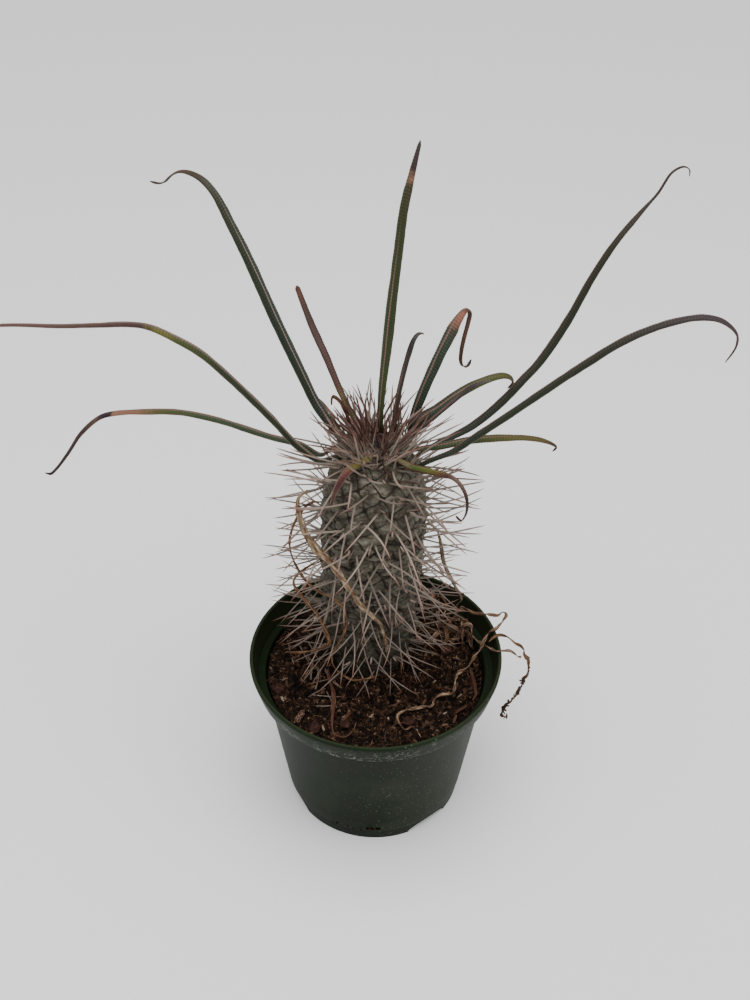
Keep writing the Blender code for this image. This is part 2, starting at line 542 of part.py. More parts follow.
def stem_frame(table, number, across=0.0, along=0.0):
    """A place on the stem's skin, with its outward, sideways and upward directions.

    Tubercle number n has neighbours n + 8 and n + 13 up the two spirals that the eye follows;
    along and across are shares of the way to those two.
    """
    index = number + 8 * along + 13 * across
    angle = number * GOLDEN_TURN + along * turn_of(8) + across * turn_of(13)
    radius, height, out, up = (
        np.interp(index, table["count"], table[key]) for key in ("radius", "height", "out", "up"))
    round_ = np.array((math.cos(angle), math.sin(angle), 0.0))
    normal = round_ * out + np.array((0.0, 0.0, up))
    normal /= np.linalg.norm(normal)
    side = np.array((-math.sin(angle), math.cos(angle), 0.0))
    centre = np.append(stem_axis(height), height)
    return centre + round_ * radius, normal, side, np.cross(normal, side)


def relief(table, number):
    """How far a tubercle stands out: nothing below the soil, less towards the tip."""
    height = np.interp(number, table["count"], table["height"])
    radius = np.interp(number, table["count"], table["radius"])
    buried = min(max((height - BURIED_HEIGHT) / 0.008, 0.0), 1.0)
    return TUBERCLE_HEIGHT * buried * radius / table["radius"].max()


def make_stem_skin(table, parts):
    """The stem's closed skin: one low pyramid with a flat top for each tubercle."""
    bm = bmesh.new()
    corners = {}

    def corner(number, along, across):
        key = round(2 * (number + 8 * along + 13 * across))
        if key not in corners:
            corners[key] = bm.verts.new(stem_frame(table, number, across, along)[0])
        return corners[key]

    last = int(table["count"][-1] - 10.5)
    for number in range(11, last):
        around = [(-0.5, -0.5), (-0.5, 0.5), (0.5, 0.5), (0.5, -0.5)]
        low = [corner(number, along, across) for along, across in around]
        high = []
        for along, across in around:
            along, across = along * TUBERCLE_CROWN * 2, across * TUBERCLE_CROWN * 2
            place, normal, _, _ = stem_frame(table, number, across, along)
            high.append(bm.verts.new(place + normal * relief(table, number + 8 * along + 13 * across)))
        bm.faces.new(high)
        for this in range(4):
            nxt = (this + 1) % 4
            bm.faces.new((low[this], low[nxt], high[nxt], high[this]))
    for height, index in ((table["height"][0], 0), (table["height"][-1], -1)):
        tip = bm.verts.new(np.append(stem_axis(height), height))
        rim = [edge for edge in bm.edges if edge.is_boundary]
        if index == 0:
            middle = (table["height"][0] + table["height"][-1]) / 2
            rim = [edge for edge in rim if edge.verts[0].co.z < middle]
        for edge in rim:
            bm.faces.new((edge.verts[0], edge.verts[1], tip))
    bmesh.ops.recalc_face_normals(bm, faces=bm.faces)
    return add_piece("stem", bm, parts)


def nearest_gap(points, thick, starts, ends, sizes):
    """The smallest gap between balls and capsules that run from starts to ends."""
    run = ends - starts
    square = np.maximum(np.sum(run * run, axis=1), 1e-12)
    offset = points[:, None, :] - starts[None, :, :]
    share = np.clip(np.sum(offset * run[None], axis=2) / square, 0.0, 1.0)
    nearest = starts[None] + share[..., None] * run[None]
    away = np.linalg.norm(points[:, None, :] - nearest, axis=2)
    return float(np.min(away - sizes[None] - thick[:, None]))


def spine_is_clear(root, tip, obstacles, grown):
    """True where a spine misses the soil, the pot, the leaves and the other spines."""
    shares = np.linspace(0.08, 1.0, 12)
    points = root + shares[:, None] * (tip - root)
    thick = SPINE_RADIUS * (1.0 - shares)
    for x, y, z in points:
        if z < soil_height(x, y) + SPINE_OVER_SOIL:
            return False
        if z < POT_HEIGHT + 0.004 and math.hypot(x, y) > 0.069:
            return False
    if nearest_gap(points, thick, *obstacles) < SPINE_CLEARANCE:
        return False
    if not grown:
        return True
    others = np.array(grown)
    sizes = np.full(len(others), SPINE_RADIUS * 0.6)
    return nearest_gap(points[2:], thick[2:], others[:, 0], others[:, 1], sizes) > 0.0


def grow_spines(table, obstacles):
    """Draw three spines for each tubercle, and bend or shorten those that something is in the way of."""
    grown = []
    first = int(np.interp(LOWEST_SPINES, table["height"], table["count"])) + 1
    last = int(table["count"][-1]) - YOUNGEST_LEFT_BARE
    for number in range(first, last):
        draw = np.random.default_rng((SEED, number))
        pad, normal, side, rise = stem_frame(table, number, 0.08, 0.08)
        pad = pad + normal * (relief(table, number) - SPINE_SINK)
        spread = SPINE_SPREAD * np.interp(number, table["count"], table["radius"]) / table["radius"].max()
        youth = min(max((number - (last - 55)) / 55.0, 0.0), 1.0)
        for way, share in ((-1, 1.0), (1, 1.0), (0, SHORT_SPINE_SHARE)):
            length = SPINE_LENGTH * share * draw.uniform(0.82, 1.12) * (1.0 - 0.15 * youth)
            root = pad + side * way * spread + rise * spread * (-0.3 if way else 1.0)
            for attempt in range(SPINE_TRIES):
                loose = 1.0 + attempt / 20.0
                sideways = way * 0.62 + draw.normal(0.0, 0.16 * loose)
                upward = (0.35 if way == 0 else -0.22) + draw.normal(0.0, 0.20 * loose)
                head = normal + side * sideways + rise * upward
                head /= np.linalg.norm(head)
                fit = length * (1.0 if attempt < SPINE_TRIES // 2 else 0.6)
                tip = root + head * fit
                if spine_is_clear(root, tip, obstacles, grown):
                    grown.append((root, tip))
                    break
    return grown


def add_spines(stem, spines):
    """Join three-sided needles to the stem with one Boolean union."""
    needles = new_collection("needles")
    for number, (root, tip) in enumerate(spines):
        run = Vector(tip - root)
        place = Matrix.Translation((root + tip) / 2) @ run.to_track_quat("Z", "Y").to_matrix().to_4x4()
        bm = bmesh.new()
        bmesh.ops.create_cone(bm, cap_ends=True, segments=3, radius1=SPINE_RADIUS, radius2=0.0,
                              depth=run.length, matrix=place)
        add_piece(f"needle_{number}", bm, needles)
    union = stem.modifiers.new("Spines", "BOOLEAN")
    union.operation = "UNION"
    union.operand_type = "COLLECTION"
    union.collection = needles
    union.solver = "MANIFOLD"
    apply_modifiers(stem)
    for needle in list(needles.objects):
        bpy.data.objects.remove(needle, do_unlink=True)
    bpy.data.collections.remove(needles)


def leaf_points(leaf):
    """A leaf's root on the crown and the places its route passes, in metres."""
    heading = math.radians(leaf["heading"])
    root = np.array(leaf["root"]) * MM
    ahead = np.array((math.cos(heading), math.sin(heading), 0.0))
    up = np.array((0.0, 0.0, 1.0))
    return root, [root + (ahead * reach + up * rise) * MM for reach, rise in leaf["route"]]


def make_leaves(tree, parts):
    """Every leaf with its seat on the crown. Returns their middle lines as obstacles for the spines."""
    lines = []
    for leaf in LEAVES:
        root, route = leaf_points(leaf)
        heart = Vector((*stem_axis(CROWN_HEART), CROWN_HEART))
        way = (Vector(root) - heart).normalized()
        seat = np.array(tree.ray_cast(heart, way)[0] + way * (SEAT_GAP + BLADE / 2))
        points = [seat, seat + np.array(way) * 0.003] + route
        points = thin_route(smooth_route(points), STEP_ALONG, TURN_ALONG)
        heading = math.radians(leaf["heading"])
        lean = math.radians(leaf.get("lean", 0.0))
        side = np.array((-math.sin(heading), math.cos(heading), math.tan(lean)))
        piece = blade(leaf["name"], points, leaf["widths"], side, LEAF_ARCH, parts)
        paint(piece, leaf["colour"], 0.5)
        moved = push_clear(piece, tree, way)
        lines.append((points + moved, leaf["widths"]))
    return lines


def make_dry_blades(grounds, parts):
    """Withered leaves: some hang in the spines, and those that lie on the soil are let down on it."""
    lines = []
    for leaf in DRY_BLADES:
        route = [np.array(place) * MM for place in leaf["route"]]
        points = thin_route(smooth_route(route), STEP_ALONG, TURN_ALONG)
        if leaf.get("lies", 0.0):
            points = let_down(points, leaf["lies"] * MM, grounds)
        side = np.cross(DRY_FACE, points[1] - points[0])
        piece = blade(leaf["name"], points, leaf["widths"], side, 0.35, parts)
        paint(piece, leaf["colour"], 0.7)
        lines.append((points, leaf["widths"]))
    return lines


def make_dry_runners(grounds, parts):
    """Thin dry stalks: curves with a round section and filled ends, let down on the soil and rim."""
    lines = []
    for runner in DRY_RUNNERS:
        route = [np.array(place) * MM for place in runner["route"]]
        points = thin_route(smooth_route(route), RUNNER_STEP_ALONG, RUNNER_TURN_ALONG)
        points = let_down(points, runner["radius"], grounds)
        curve = bpy.data.curves.new(runner["name"], "CURVE")
        curve.dimensions = "3D"
        curve.bevel_depth = runner["radius"]
        curve.bevel_resolution = 0
        curve.use_fill_caps = True
        spline = curve.splines.new("POLY")
        spline.points.add(len(points) - 1)
        for knot, point in zip(spline.points, points):
            knot.co = (*point, 1.0)
        piece = bpy.data.objects.new(runner["name"], curve)
        parts.objects.link(piece)
        paint(piece, DRY_BROWN, 0.75)
        width = 2 * runner["radius"] / MM
        lines.append((points, ((0, width), (1, width))))
    return lines


def make_soil_bits(ground, parts):
    """Bark chips, a clod and a pebble, each let down until it lies just clear of the soil."""
    lines = []
    draw = np.random.default_rng(SEED + 1)
    for bit in SOIL_BITS:
        bm = bmesh.new()
        size = Matrix.Diagonal((*(np.array(bit["size"]) * MM), 1.0))
        bmesh.ops.create_icosphere(bm, subdivisions=1, radius=0.55, matrix=size)
        for vertex in bm.verts:
            vertex.co += Vector(draw.uniform(-1.0, 1.0, 3)) * 0.06 * min(bit["size"]) * MM
        x, y = (value * MM for value in bit["place"])
        turn = Matrix.Rotation(math.radians(bit["turn"]), 4, "Z")
        bmesh.ops.transform(bm, matrix=Matrix.Translation((x, y, 0.2)) @ turn, verts=bm.verts)
        drop = 1.0
        for face in bm.faces:
            for share in (0.0, 0.5, 1.0):
                for vertex in face.verts:
                    point = face.calc_center_median().lerp(vertex.co, share)
                    hit = ground.ray_cast(point, Vector((0.0, 0.0, -1.0)))
                    if hit[0] is not None:
                        drop = min(drop, hit[3])
        bmesh.ops.translate(bm, vec=(0.0, 0.0, SEAT_GAP - drop), verts=bm.verts)
        centre = np.mean([vertex.co for vertex in bm.verts], axis=0)
        lines.append((np.array([centre, centre + 0.0001]), ((0, max(bit["size"])), (1, max(bit["size"])))))
        piece = add_piece(bit["name"], bm, parts)
        paint(piece, bit["colour"], 0.85)
    return lines


def as_capsules(lines):
    """The middle lines of the leaves as capsules: starts, ends and half widths."""
    starts, ends, sizes = [], [], []
    for points, widths in lines:
        table = np.array(widths, float)
        half = np.interp(shares_along(points), table[:, 0], table[:, 1]) * MM / 2 + BLADE / 2
        starts.append(points[:-1])
        ends.append(points[1:])
        sizes.append(np.maximum(half[:-1], half[1:]))
    return np.vstack(starts), np.vstack(ends), np.concatenate(sizes)


def main():
    clear_scene()
    parts = new_collection("potted_madagascar_palm")
    cutters = new_collection("cutters")
    pot = make_pot(parts, cutters)
    soil = make_soil(parts, cutters)
    table = stem_table()
    stem = make_stem_skin(table, parts)
    pot_tree, soil_tree, stem_tree = (
        BVHTree.FromObject(piece, bpy.context.evaluated_depsgraph_get()) for piece in (pot, soil, stem))
    lines = make_leaves(stem_tree, parts)
    lines += make_dry_blades([pot_tree, soil_tree], parts)
    lines += make_dry_runners([pot_tree, soil_tree], parts)
    lines += make_soil_bits(soil_tree, parts)
    add_spines(stem, grow_spines(table, as_capsules(lines)))
    paint(stem, STEM_GREY, 0.8)


main()
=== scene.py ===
# %% [markdown]
# # A Madagascar palm in its nursery pot
# The CAD model gives the size and the place of every part of this plant. This lesson loads it as a
# fixed frame and builds what the eye sees over it: a moulded pot with dry lime, a bed of bark and
# peat, a grey stem with hundreds of spines, strap leaves with a rolled edge, and withered leaves.
# Everything is in metres with +Z up, and the plant's front looks along -Y. Small sizes are written
# in millimetres and multiplied by MM.

import math

import bmesh
import bpy
import numpy as np
from mathutils import Matrix, Vector, noise
from mathutils.bvhtree import BVHTree


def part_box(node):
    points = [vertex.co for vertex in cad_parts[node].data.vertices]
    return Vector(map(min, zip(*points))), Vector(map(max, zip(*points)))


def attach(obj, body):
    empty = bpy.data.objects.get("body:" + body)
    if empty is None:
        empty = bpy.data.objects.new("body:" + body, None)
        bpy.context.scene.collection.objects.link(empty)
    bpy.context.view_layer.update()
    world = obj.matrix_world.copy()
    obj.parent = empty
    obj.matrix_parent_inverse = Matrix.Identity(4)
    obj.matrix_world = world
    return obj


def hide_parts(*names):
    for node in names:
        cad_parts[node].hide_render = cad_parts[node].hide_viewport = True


MM = 0.001
UP = np.array((0.0, 0.0, 1.0))
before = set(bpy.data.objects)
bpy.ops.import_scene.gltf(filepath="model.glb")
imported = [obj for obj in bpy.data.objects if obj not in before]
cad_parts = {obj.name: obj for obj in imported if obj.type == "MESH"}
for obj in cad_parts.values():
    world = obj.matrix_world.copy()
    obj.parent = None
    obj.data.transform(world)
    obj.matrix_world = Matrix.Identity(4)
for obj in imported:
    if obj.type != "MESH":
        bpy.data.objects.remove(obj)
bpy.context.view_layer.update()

# %% [markdown]
# ## The camera
# The photograph looks down at the pot. Its rim, the foot of its band and its foot ring are circles
# of known size, so the shape of their ellipses gives the camera: 39 degrees down, 0.88 m away, with
# the view of a 43 mm lens on a 36 mm sensor. The camera also rolls by half a degree.

# %% Place the camera
CAMERA_PLACE = Vector((-1.35, -551.6, 688.1)) * MM
LOOK_DOWN = math.radians(38.70)
ROLL = math.radians(0.52)
camera = bpy.data.objects.new("camera", bpy.data.cameras.new("camera"))
bpy.context.scene.collection.objects.link(camera)
camera.data.sensor_width = 36.0
camera.data.lens = 43.2
camera.data.clip_start = 0.01
camera.matrix_world = (Matrix.Translation(CAMERA_PLACE)
                       @ Matrix.Rotation(math.pi / 2 - LOOK_DOWN, 4, "X")
                       @ Matrix.Rotation(ROLL, 4, "Z"))
bpy.context.scene.camera = camera
print("camera is", round(camera.location.length, 3), "m from the origin")

# %% [markdown]
# ## Helpers for finishes
# Colours are picked as sRGB hex values, as on a paint chart, but shaders work in linear light, so
# one function turns them. Another adds a shader node with its settings and its links: a node can be
# handed over where its first output is meant, and any other output is named. A pattern's scale is
# the number of its repeats in a metre, which one small function works out from a size in
# millimetres.

# %% Colour and node helpers


def linear(hex_code):
    """An sRGB hex value as linear red, green, blue and a full alpha."""
    values = [int(hex_code[i:i + 2], 16) / 255 for i in (1, 3, 5)]
    return (*[v / 12.92 if v <= 0.04045 else ((v + 0.055) / 1.055) ** 2.4 for v in values], 1.0)


def repeats(size_mm):
    """How many times a pattern of that size repeats in a metre."""
    return 1000.0 / size_mm


def feed(tree, node, feeds):
    """Give a node's sockets their values or links. A node that is given stands for the first of its
    outputs that is in use."""
    for socket, value in feeds.items():
        if isinstance(value, bpy.types.Node):
            value = next(output for output in value.outputs if output.enabled)
        if isinstance(value, bpy.types.NodeSocket):
            tree.links.new(value, node.inputs[socket])
        else:
            node.inputs[socket].default_value = value


def add_node(tree, kind, feeds=None, stops=None, **settings):
    """Add a shader node with its settings. feeds is as above, and stops fills a colour ramp."""
    made = tree.nodes.new(kind)
    for name, value in settings.items():
        setattr(made, name, value)
    for place, colour in stops or ():
        first = place == stops[0][0]
        last = place == stops[-1][0]
        points = made.color_ramp.elements
        point = points[0] if first else points[-1] if last else points.new(place)
        point.position = place
        point.color = linear(colour)
    feed(tree, made, feeds or {})
    return made


def new_finish(name, roughness, **fixed):
    """A new Principled material: returns it with its node tree and its shader."""
    material = bpy.data.materials.new(name)
    material.use_nodes = True
    shader = material.node_tree.nodes["Principled BSDF"]
    feed(material.node_tree, shader, {"Roughness": roughness})
    feed(material.node_tree, shader, {socket.replace("_", " "): value for socket, value in fixed.items()})
    return material, material.node_tree, shader


print("mid grey #808080 is", round(linear("#808080")[0], 3), "in linear light")

# %% [markdown]
# ## Floor and light
# The plant stands on a pale floor under soft light, as in a small product studio. A large panel
# above and a little in front gives the long soft highlights on the leaves, and two side panels open
# the shadows. A sun as wide as a cloudy sky lights the whole floor evenly, and a pale world fills
# the rest. The lights are wide, so that no shadow has a hard edge.

# %% Make the studio


def add_panel(name, place, target, size, power):
    """A square light of that size that faces its target."""
    lamp = bpy.data.lights.new(name, "AREA")
    lamp.shape = "SQUARE"
    lamp.size = size
    lamp.energy = power
    panel = bpy.data.objects.new(name, lamp)
    bpy.context.scene.collection.objects.link(panel)
    panel.location = place
    panel.rotation_euler = (Vector(target) - Vector(place)).to_track_quat("-Z", "Y").to_euler()


MIDDLE = (0.0, 0.0, 0.15)
add_panel("panel_above", (-0.25, -0.15, 1.5), MIDDLE, 1.4, 12.0)
add_panel("panel_left", (-1.4, -0.6, 0.8), MIDDLE, 1.0, 2.0)
add_panel("panel_right", (1.4, -0.6, 0.8), MIDDLE, 1.0, 5.0)
cloudy_sky = bpy.data.objects.new("cloudy_sky", bpy.data.lights.new("cloudy_sky", "SUN"))
bpy.context.scene.collection.objects.link(cloudy_sky)
cloudy_sky.data.energy = 2.0
cloudy_sky.data.angle = math.radians(70)
cloudy_sky.rotation_euler = (math.radians(10), math.radians(10), 0)
world = bpy.data.worlds.new("pale_room")
bpy.context.scene.world = world
world.use_nodes = True
feed(world.node_tree, world.node_tree.nodes["Background"], {"Color": linear("#f4f6f8"), "Strength": 0.55})

floor_mesh = bmesh.new()
bmesh.ops.create_grid(floor_mesh, x_segments=1, y_segments=1, size=6.0)
floor_data = bpy.data.meshes.new("floor")
floor_mesh.to_mesh(floor_data)
floor_mesh.free()
floor = bpy.data.objects.new("floor", floor_data)
bpy.context.scene.collection.objects.link(floor)
floor.location.z = -0.2 * MM
painted_board, _, _ = new_finish("painted_board", 0.85, Base_Color=linear("#f2f2f1"))
floor_data.materials.append(painted_board)
print("lights:", [lamp.name for lamp in bpy.data.lights])

# %% [markdown]
# ## Helpers for shapes
# Each piece is made from lists of corners and faces. A leaf or a stalk follows a route: a few
# given points and a smooth curve through them. The same curve was used for the CAD solids, so
# a piece that repeats a route lies where its solid does. Named numbers can be stored on each
# corner, such as how far along a leaf it is, and a finish can read them back.

# %% Shape helpers


def add_piece(name, corners, faces, material, stands_for=None, smooth=True, **marks):
    """Make a mesh piece on the plant's one body. marks are lists with one number for each corner."""
    mesh = bpy.data.meshes.new(name)
    mesh.from_pydata([tuple(corner) for corner in corners], [], [tuple(face) for face in faces])
    mesh.polygons.foreach_set("use_smooth", [smooth] * len(mesh.polygons))
    for mark, values in marks.items():
        layer = mesh.attributes.new(mark, "FLOAT", "POINT")
        layer.data.foreach_set("value", np.asarray(values, np.float32))
    mesh.materials.append(material)
    piece = bpy.data.objects.new(name, mesh)
    bpy.context.scene.collection.objects.link(piece)
    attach(piece, "root")
    if stands_for:
        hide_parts(stands_for)
    return piece


def smooth_route(points, spacing=0.5 * MM):
    """Points about half a millimetre apart on a smooth curve through the given ones."""
    given = np.array(points, float)
    ends = np.vstack([2 * given[0] - given[1], given, 2 * given[-1] - given[-2]])
    curve = []
    for a, b, c, d in zip(ends, ends[1:], ends[2:], ends[3:]):
        t1 = np.linalg.norm(b - a) ** 0.5
        t2 = t1 + np.linalg.norm(c - b) ** 0.5
        t3 = t2 + np.linalg.norm(d - c) ** 0.5
        count = max(2, int(np.linalg.norm(c - b) / spacing))
        t = np.linspace(t1, t2, count, endpoint=False)[:, None]
        ab = (t1 - t) / t1 * a + t / t1 * b
        bc = (t2 - t) / (t2 - t1) * b + (t - t1) / (t2 - t1) * c
        cd = (t3 - t) / (t3 - t2) * c + (t - t2) / (t3 - t2) * d
        abc = (t2 - t) / t2 * ab + t / t2 * bc
        bcd = (t3 - t) / (t3 - t1) * bc + (t - t1) / (t3 - t1) * cd
        curve.append((t2 - t) / (t2 - t1) * abc + (t - t1) / (t2 - t1) * bcd)
    return np.vstack(curve + [given[-1:]])


def lengths_along(points):
    """How far along the route each point lies, in metres."""
    return np.concatenate([[0.0], np.cumsum(np.linalg.norm(np.diff(points, axis=0), axis=1))])


def spaced(points, step):
    """The same route with its points that far apart."""
    far = lengths_along(points)
    marks = np.linspace(0.0, far[-1], max(4, int(far[-1] / step) + 1))
    return np.stack([np.interp(marks, far, points[:, axis]) for axis in range(3)], axis=1)


def line_through(places_mm, step):
    """A smooth line through places in millimetres, with its points that far apart in metres."""
    return spaced(smooth_route(np.array(places_mm) * MM), step)


def frames_along(points, side):
    """At each point of a route: the side way and the way out of the blade's face."""
    heads = np.gradient(points, axis=0)
    heads /= np.linalg.norm(heads, axis=1)[:, None]
    sides, ups = [], []
    for head in heads:
        side = side - head * np.dot(side, head)
        side = side / np.linalg.norm(side)
        sides.append(side)
        ups.append(np.cross(head, side))
    return np.array(sides), np.array(ups)


def tube_faces(rings, around):
    """Faces of a tube with closed ends whose corners come ring by ring."""
    faces = []
    for ring in range(rings - 1):
        low, high = ring * around, (ring + 1) * around
        for this in range(around):
            nxt = (this + 1) % around
            faces.append((low + this, low + nxt, high + nxt, high + this))
    faces.append(tuple(range(around))[::-1])
    faces.append(tuple((rings - 1) * around + this for this in range(around)))
    return faces


print("a route through 3 points has", len(smooth_route([(0, 0, 0), (.01, 0, 0), (.02, .01, 0)])), "points")

# %% [markdown]
# ## The pot's shape
# A nursery pot is injection-moulded in one piece: a thin wall that tapers to the foot, an inner
# ledge, an outward band with a rounded rim, and arches in the foot ring that let water out. All
# but the arches is round, so one outline of radius and height is turned round the Z axis. Moulds
# have no sharp corners, so each corner of the outline is first rounded by half a millimetre. The
# arches and one slot are cut afterwards with Boolean modifiers.

# %% Turn the pot and cut its foot
POT_SIDES = 144
POT_OUTLINE_MM = (
    (0, 5.6), (57.4, 5.6), (59.4, 7.6), (72.1, 102.6), (72.7, 105.0), (77.6, 105.3), (79.9, 117.8),
    (80.2, 119.5), (80.9, 120), (81.7, 120), (82.5, 119.2), (82.3, 117), (79.0, 104.4),
    (78.0, 103.6), (73.5, 103.0), (62.5, 22), (60.8, 9.6), (59.8, 8.6), (59.2, 0), (57.4, 0), (57.4, 4),
    (13, 4), (12, 0), (0, 0),
)
CORNER_ROUNDING = 0.5 * MM
ARCH_COMPASS = (-51.8, -155.0, 128.2, 25.0)
ARCH_HALF_WIDTH = 15.5 * MM
ARCH_HEIGHT = 6.5 * MM
FOOT_RADIUS = 59.2 * MM
SLOT_CENTRE = (-0.5 * MM, -61.4 * MM, 12.5 * MM)
SLOT_SIZE = (9.5 * MM, 6 * MM, 3 * MM)


def rounded(outline, reach):
    """The outline with each corner replaced by a short curve."""
    points = [np.array(point, float) * MM for point in outline]
    out = [points[0]]
    for before, corner, after in zip(points, points[1:], points[2:]):
        back, on = before - corner, after - corner
        cut = min(reach, 0.45 * np.linalg.norm(back), 0.45 * np.linalg.norm(on))
        start = corner + back / np.linalg.norm(back) * cut
        end = corner + on / np.linalg.norm(on) * cut
        out += [start, (start + 2 * corner + end) / 4, end]
    return out + [points[-1]]


def turned(outline, sides):
    """Corners and faces of an outline turned round the Z axis; its two ends are on the axis."""
    corners = [(0.0, 0.0, outline[0][1])]
    for radius, height in outline[1:-1]:
        for this in range(sides):
            angle = 2 * math.pi * this / sides
            corners.append((radius * math.cos(angle), radius * math.sin(angle), height))
    corners.append((0.0, 0.0, outline[-1][1]))
    rings = len(outline) - 2
    faces = []
    for this in range(sides):
        nxt = (this + 1) % sides
        faces.append((0, 1 + this, 1 + nxt))
        for ring in range(rings - 1):
            low, high = 1 + ring * sides, 1 + (ring + 1) * sides
            faces.append((low + this, high + this, high + nxt, low + nxt))
        low = 1 + (rings - 1) * sides
        faces.append((low + this, len(corners) - 1, low + nxt))
    return corners, faces


def cut_out(piece, build):
    """Cut a piece with the solid that build makes, and drop the cutter."""
    shape = bmesh.new()
    build(shape)
    mesh = bpy.data.meshes.new("cutter")
    shape.to_mesh(mesh)
    shape.free()
    cutter = bpy.data.objects.new("cutter", mesh)
    bpy.context.scene.collection.objects.link(cutter)
    modifier = piece.modifiers.new("Cut", "BOOLEAN")
    modifier.object = cutter
    modifier.solver = "EXACT"
    result = bpy.data.meshes.new_from_object(piece.evaluated_get(bpy.context.evaluated_depsgraph_get()))
    piece.modifiers.clear()
    piece.data = result
    bpy.data.objects.remove(cutter)


pot_green, pot_tree, pot_shader = new_finish("polypropylene_dark_green", 0.42, IOR=1.49,
                                             Specular_IOR_Level=0.07)
pot = add_piece("pot_moulded", *turned(rounded(POT_OUTLINE_MM, CORNER_ROUNDING), POT_SIDES),
                pot_green, stands_for="pot")
for compass in ARCH_COMPASS:
    turn = Matrix.Rotation(math.radians(compass), 4, "Z")
    lie = (Matrix.Translation((FOOT_RADIUS, 0, 0)) @ Matrix.Diagonal((1, ARCH_HALF_WIDTH, ARCH_HEIGHT, 1))
           @ Matrix.Rotation(math.pi / 2, 4, "Y"))
    cut_out(pot, lambda shape: bmesh.ops.create_cone(
        shape, cap_ends=True, segments=64, radius1=1, radius2=1, depth=20 * MM, matrix=turn @ lie))
slot = Matrix.Translation(SLOT_CENTRE) @ Matrix.Diagonal((*SLOT_SIZE, 1))
cut_out(pot, lambda shape: bmesh.ops.create_cube(shape, size=1.0, matrix=slot))
pot.data.set_sharp_from_angle(angle=math.radians(40))
print("pot:", len(pot.data.polygons), "faces")

# %% [markdown]
# ## The pot's plastic
# The plastic is polypropylene with green and black pigment, and its IOR is about 1.49. Moulding
# leaves a fine grain, about 0.5 mm across, that spreads the highlight. Painted light makes the right
# side paler, the band is a cleaner green, the band's inner face takes a lighter painted tone for its
# lighting, and the rim carries a painted highlight. Each of these is a mask that depends on place,
# and they are laid over the green one after the other. The band leans outward, so a point's radius
# less 0.215 of its height tells its inner face from its outer one.

# %% Finish the plastic
place = add_node(pot_tree, "ShaderNodeTexCoord").outputs["Object"]
axes = add_node(pot_tree, "ShaderNodeSeparateXYZ", {0: place})
height = axes.outputs["Z"]
cloud = add_node(pot_tree, "ShaderNodeTexNoise", {"Vector": place, "Scale": repeats(40), "Detail": 4.0})
green = add_node(pot_tree, "ShaderNodeValToRGB", {"Fac": cloud},
                 stops=((0.36, "#13150b"), (0.50, "#0b1a08"), (0.66, "#1a2213")))
flat_place = add_node(pot_tree, "ShaderNodeCombineXYZ", {"X": axes.outputs["X"], "Y": axes.outputs["Y"]})
radius = add_node(pot_tree, "ShaderNodeVectorMath", {0: flat_place}, operation="LENGTH")
BAND_TAPER = 0.215
off_taper = add_node(pot_tree, "ShaderNodeMath", {0: height, 1: -BAND_TAPER, 2: radius},
                     operation="MULTIPLY_ADD")
inner_face = add_node(pot_tree, "ShaderNodeMapRange",
                      {"Value": off_taper, "From Min": 56.0 * MM, "From Max": 55.2 * MM, "To Max": 0.85})
over_ledge = add_node(pot_tree, "ShaderNodeMapRange",
                      {"Value": height, "From Min": 105.4 * MM, "From Max": 107.5 * MM})
# Painted light: the band's inner face above the ledge takes a lighter tone for its lighting.
inner_face_painted_light = add_node(pot_tree, "ShaderNodeMath", {0: inner_face, 1: over_ledge}, operation="MULTIPLY")
# Painted light: the right side is made paler, as the light comes from the right.
right_side_painted_light = add_node(pot_tree, "ShaderNodeMapRange",
                 {"Value": axes.outputs["X"], "From Min": 5 * MM, "From Max": 50 * MM, "To Max": 0.5})
on_band = add_node(pot_tree, "ShaderNodeMapRange",
                   {"Value": height, "From Min": 103.5 * MM, "From Max": 105.0 * MM, "To Max": 0.5})
# Painted highlight along the top of the rim.
rim_painted_highlight = add_node(pot_tree, "ShaderNodeMapRange",
                  {"Value": height, "From Min": 118.8 * MM, "From Max": 120.3 * MM, "To Max": 0.45})
layer = green
for mask, colour in ((right_side_painted_light, "#2a2e22"), (on_band, "#121e0c"), (inner_face_painted_light, "#282d1e"), (rim_painted_highlight, "#303c28")):
    layer = add_node(pot_tree, "ShaderNodeMix", {0: mask, 6: layer, 7: linear(colour)}, data_type="RGBA")

# %% [markdown]
# ## Dry lime
# Hard water dries to white lime. On the band it leaves thin curled lines, which are the places where
# a noise of 4.2 mm is near its middle value. A second noise keeps them in patches, and they are
# densest at the lower edge, where drops hang. Specks of lime, one in some of the cells of a Voronoi
# pattern, lie on the outer face and on all that is under the band, more of them on the right.

# %% Lay lime on the plastic
curl_noise = add_node(pot_tree, "ShaderNodeTexNoise",
                      {"Vector": place, "Scale": repeats(4.2), "Detail": 2.0})
curl_off = add_node(pot_tree, "ShaderNodeMath", {0: curl_noise, 1: 0.5}, operation="SUBTRACT")
curl_near = add_node(pot_tree, "ShaderNodeMath", {0: curl_off}, operation="ABSOLUTE")
curl = add_node(pot_tree, "ShaderNodeMapRange",
                {"Value": curl_near, "From Min": 0.025, "From Max": 0.007, "To Max": 0.78})
patch_noise = add_node(pot_tree, "ShaderNodeTexNoise",
                       {"Vector": place, "Scale": repeats(11), "Detail": 4.0})
patch = add_node(pot_tree, "ShaderNodeMapRange",
                 {"Value": patch_noise, "From Min": 0.40, "From Max": 0.60})
low_edge = add_node(pot_tree, "ShaderNodeMapRange",
                    {"Value": height, "From Min": 119.0 * MM, "From Max": 105.5 * MM})
band_only = add_node(pot_tree, "ShaderNodeMapRange",
                     {"Value": height, "From Min": 103.6 * MM, "From Max": 104.8 * MM})
outer_face = add_node(pot_tree, "ShaderNodeMapRange",
                      {"Value": off_taper, "From Min": 55.6 * MM, "From Max": 56.2 * MM})
speck_cells = add_node(pot_tree, "ShaderNodeTexVoronoi", {"Vector": place, "Scale": repeats(2.1)})
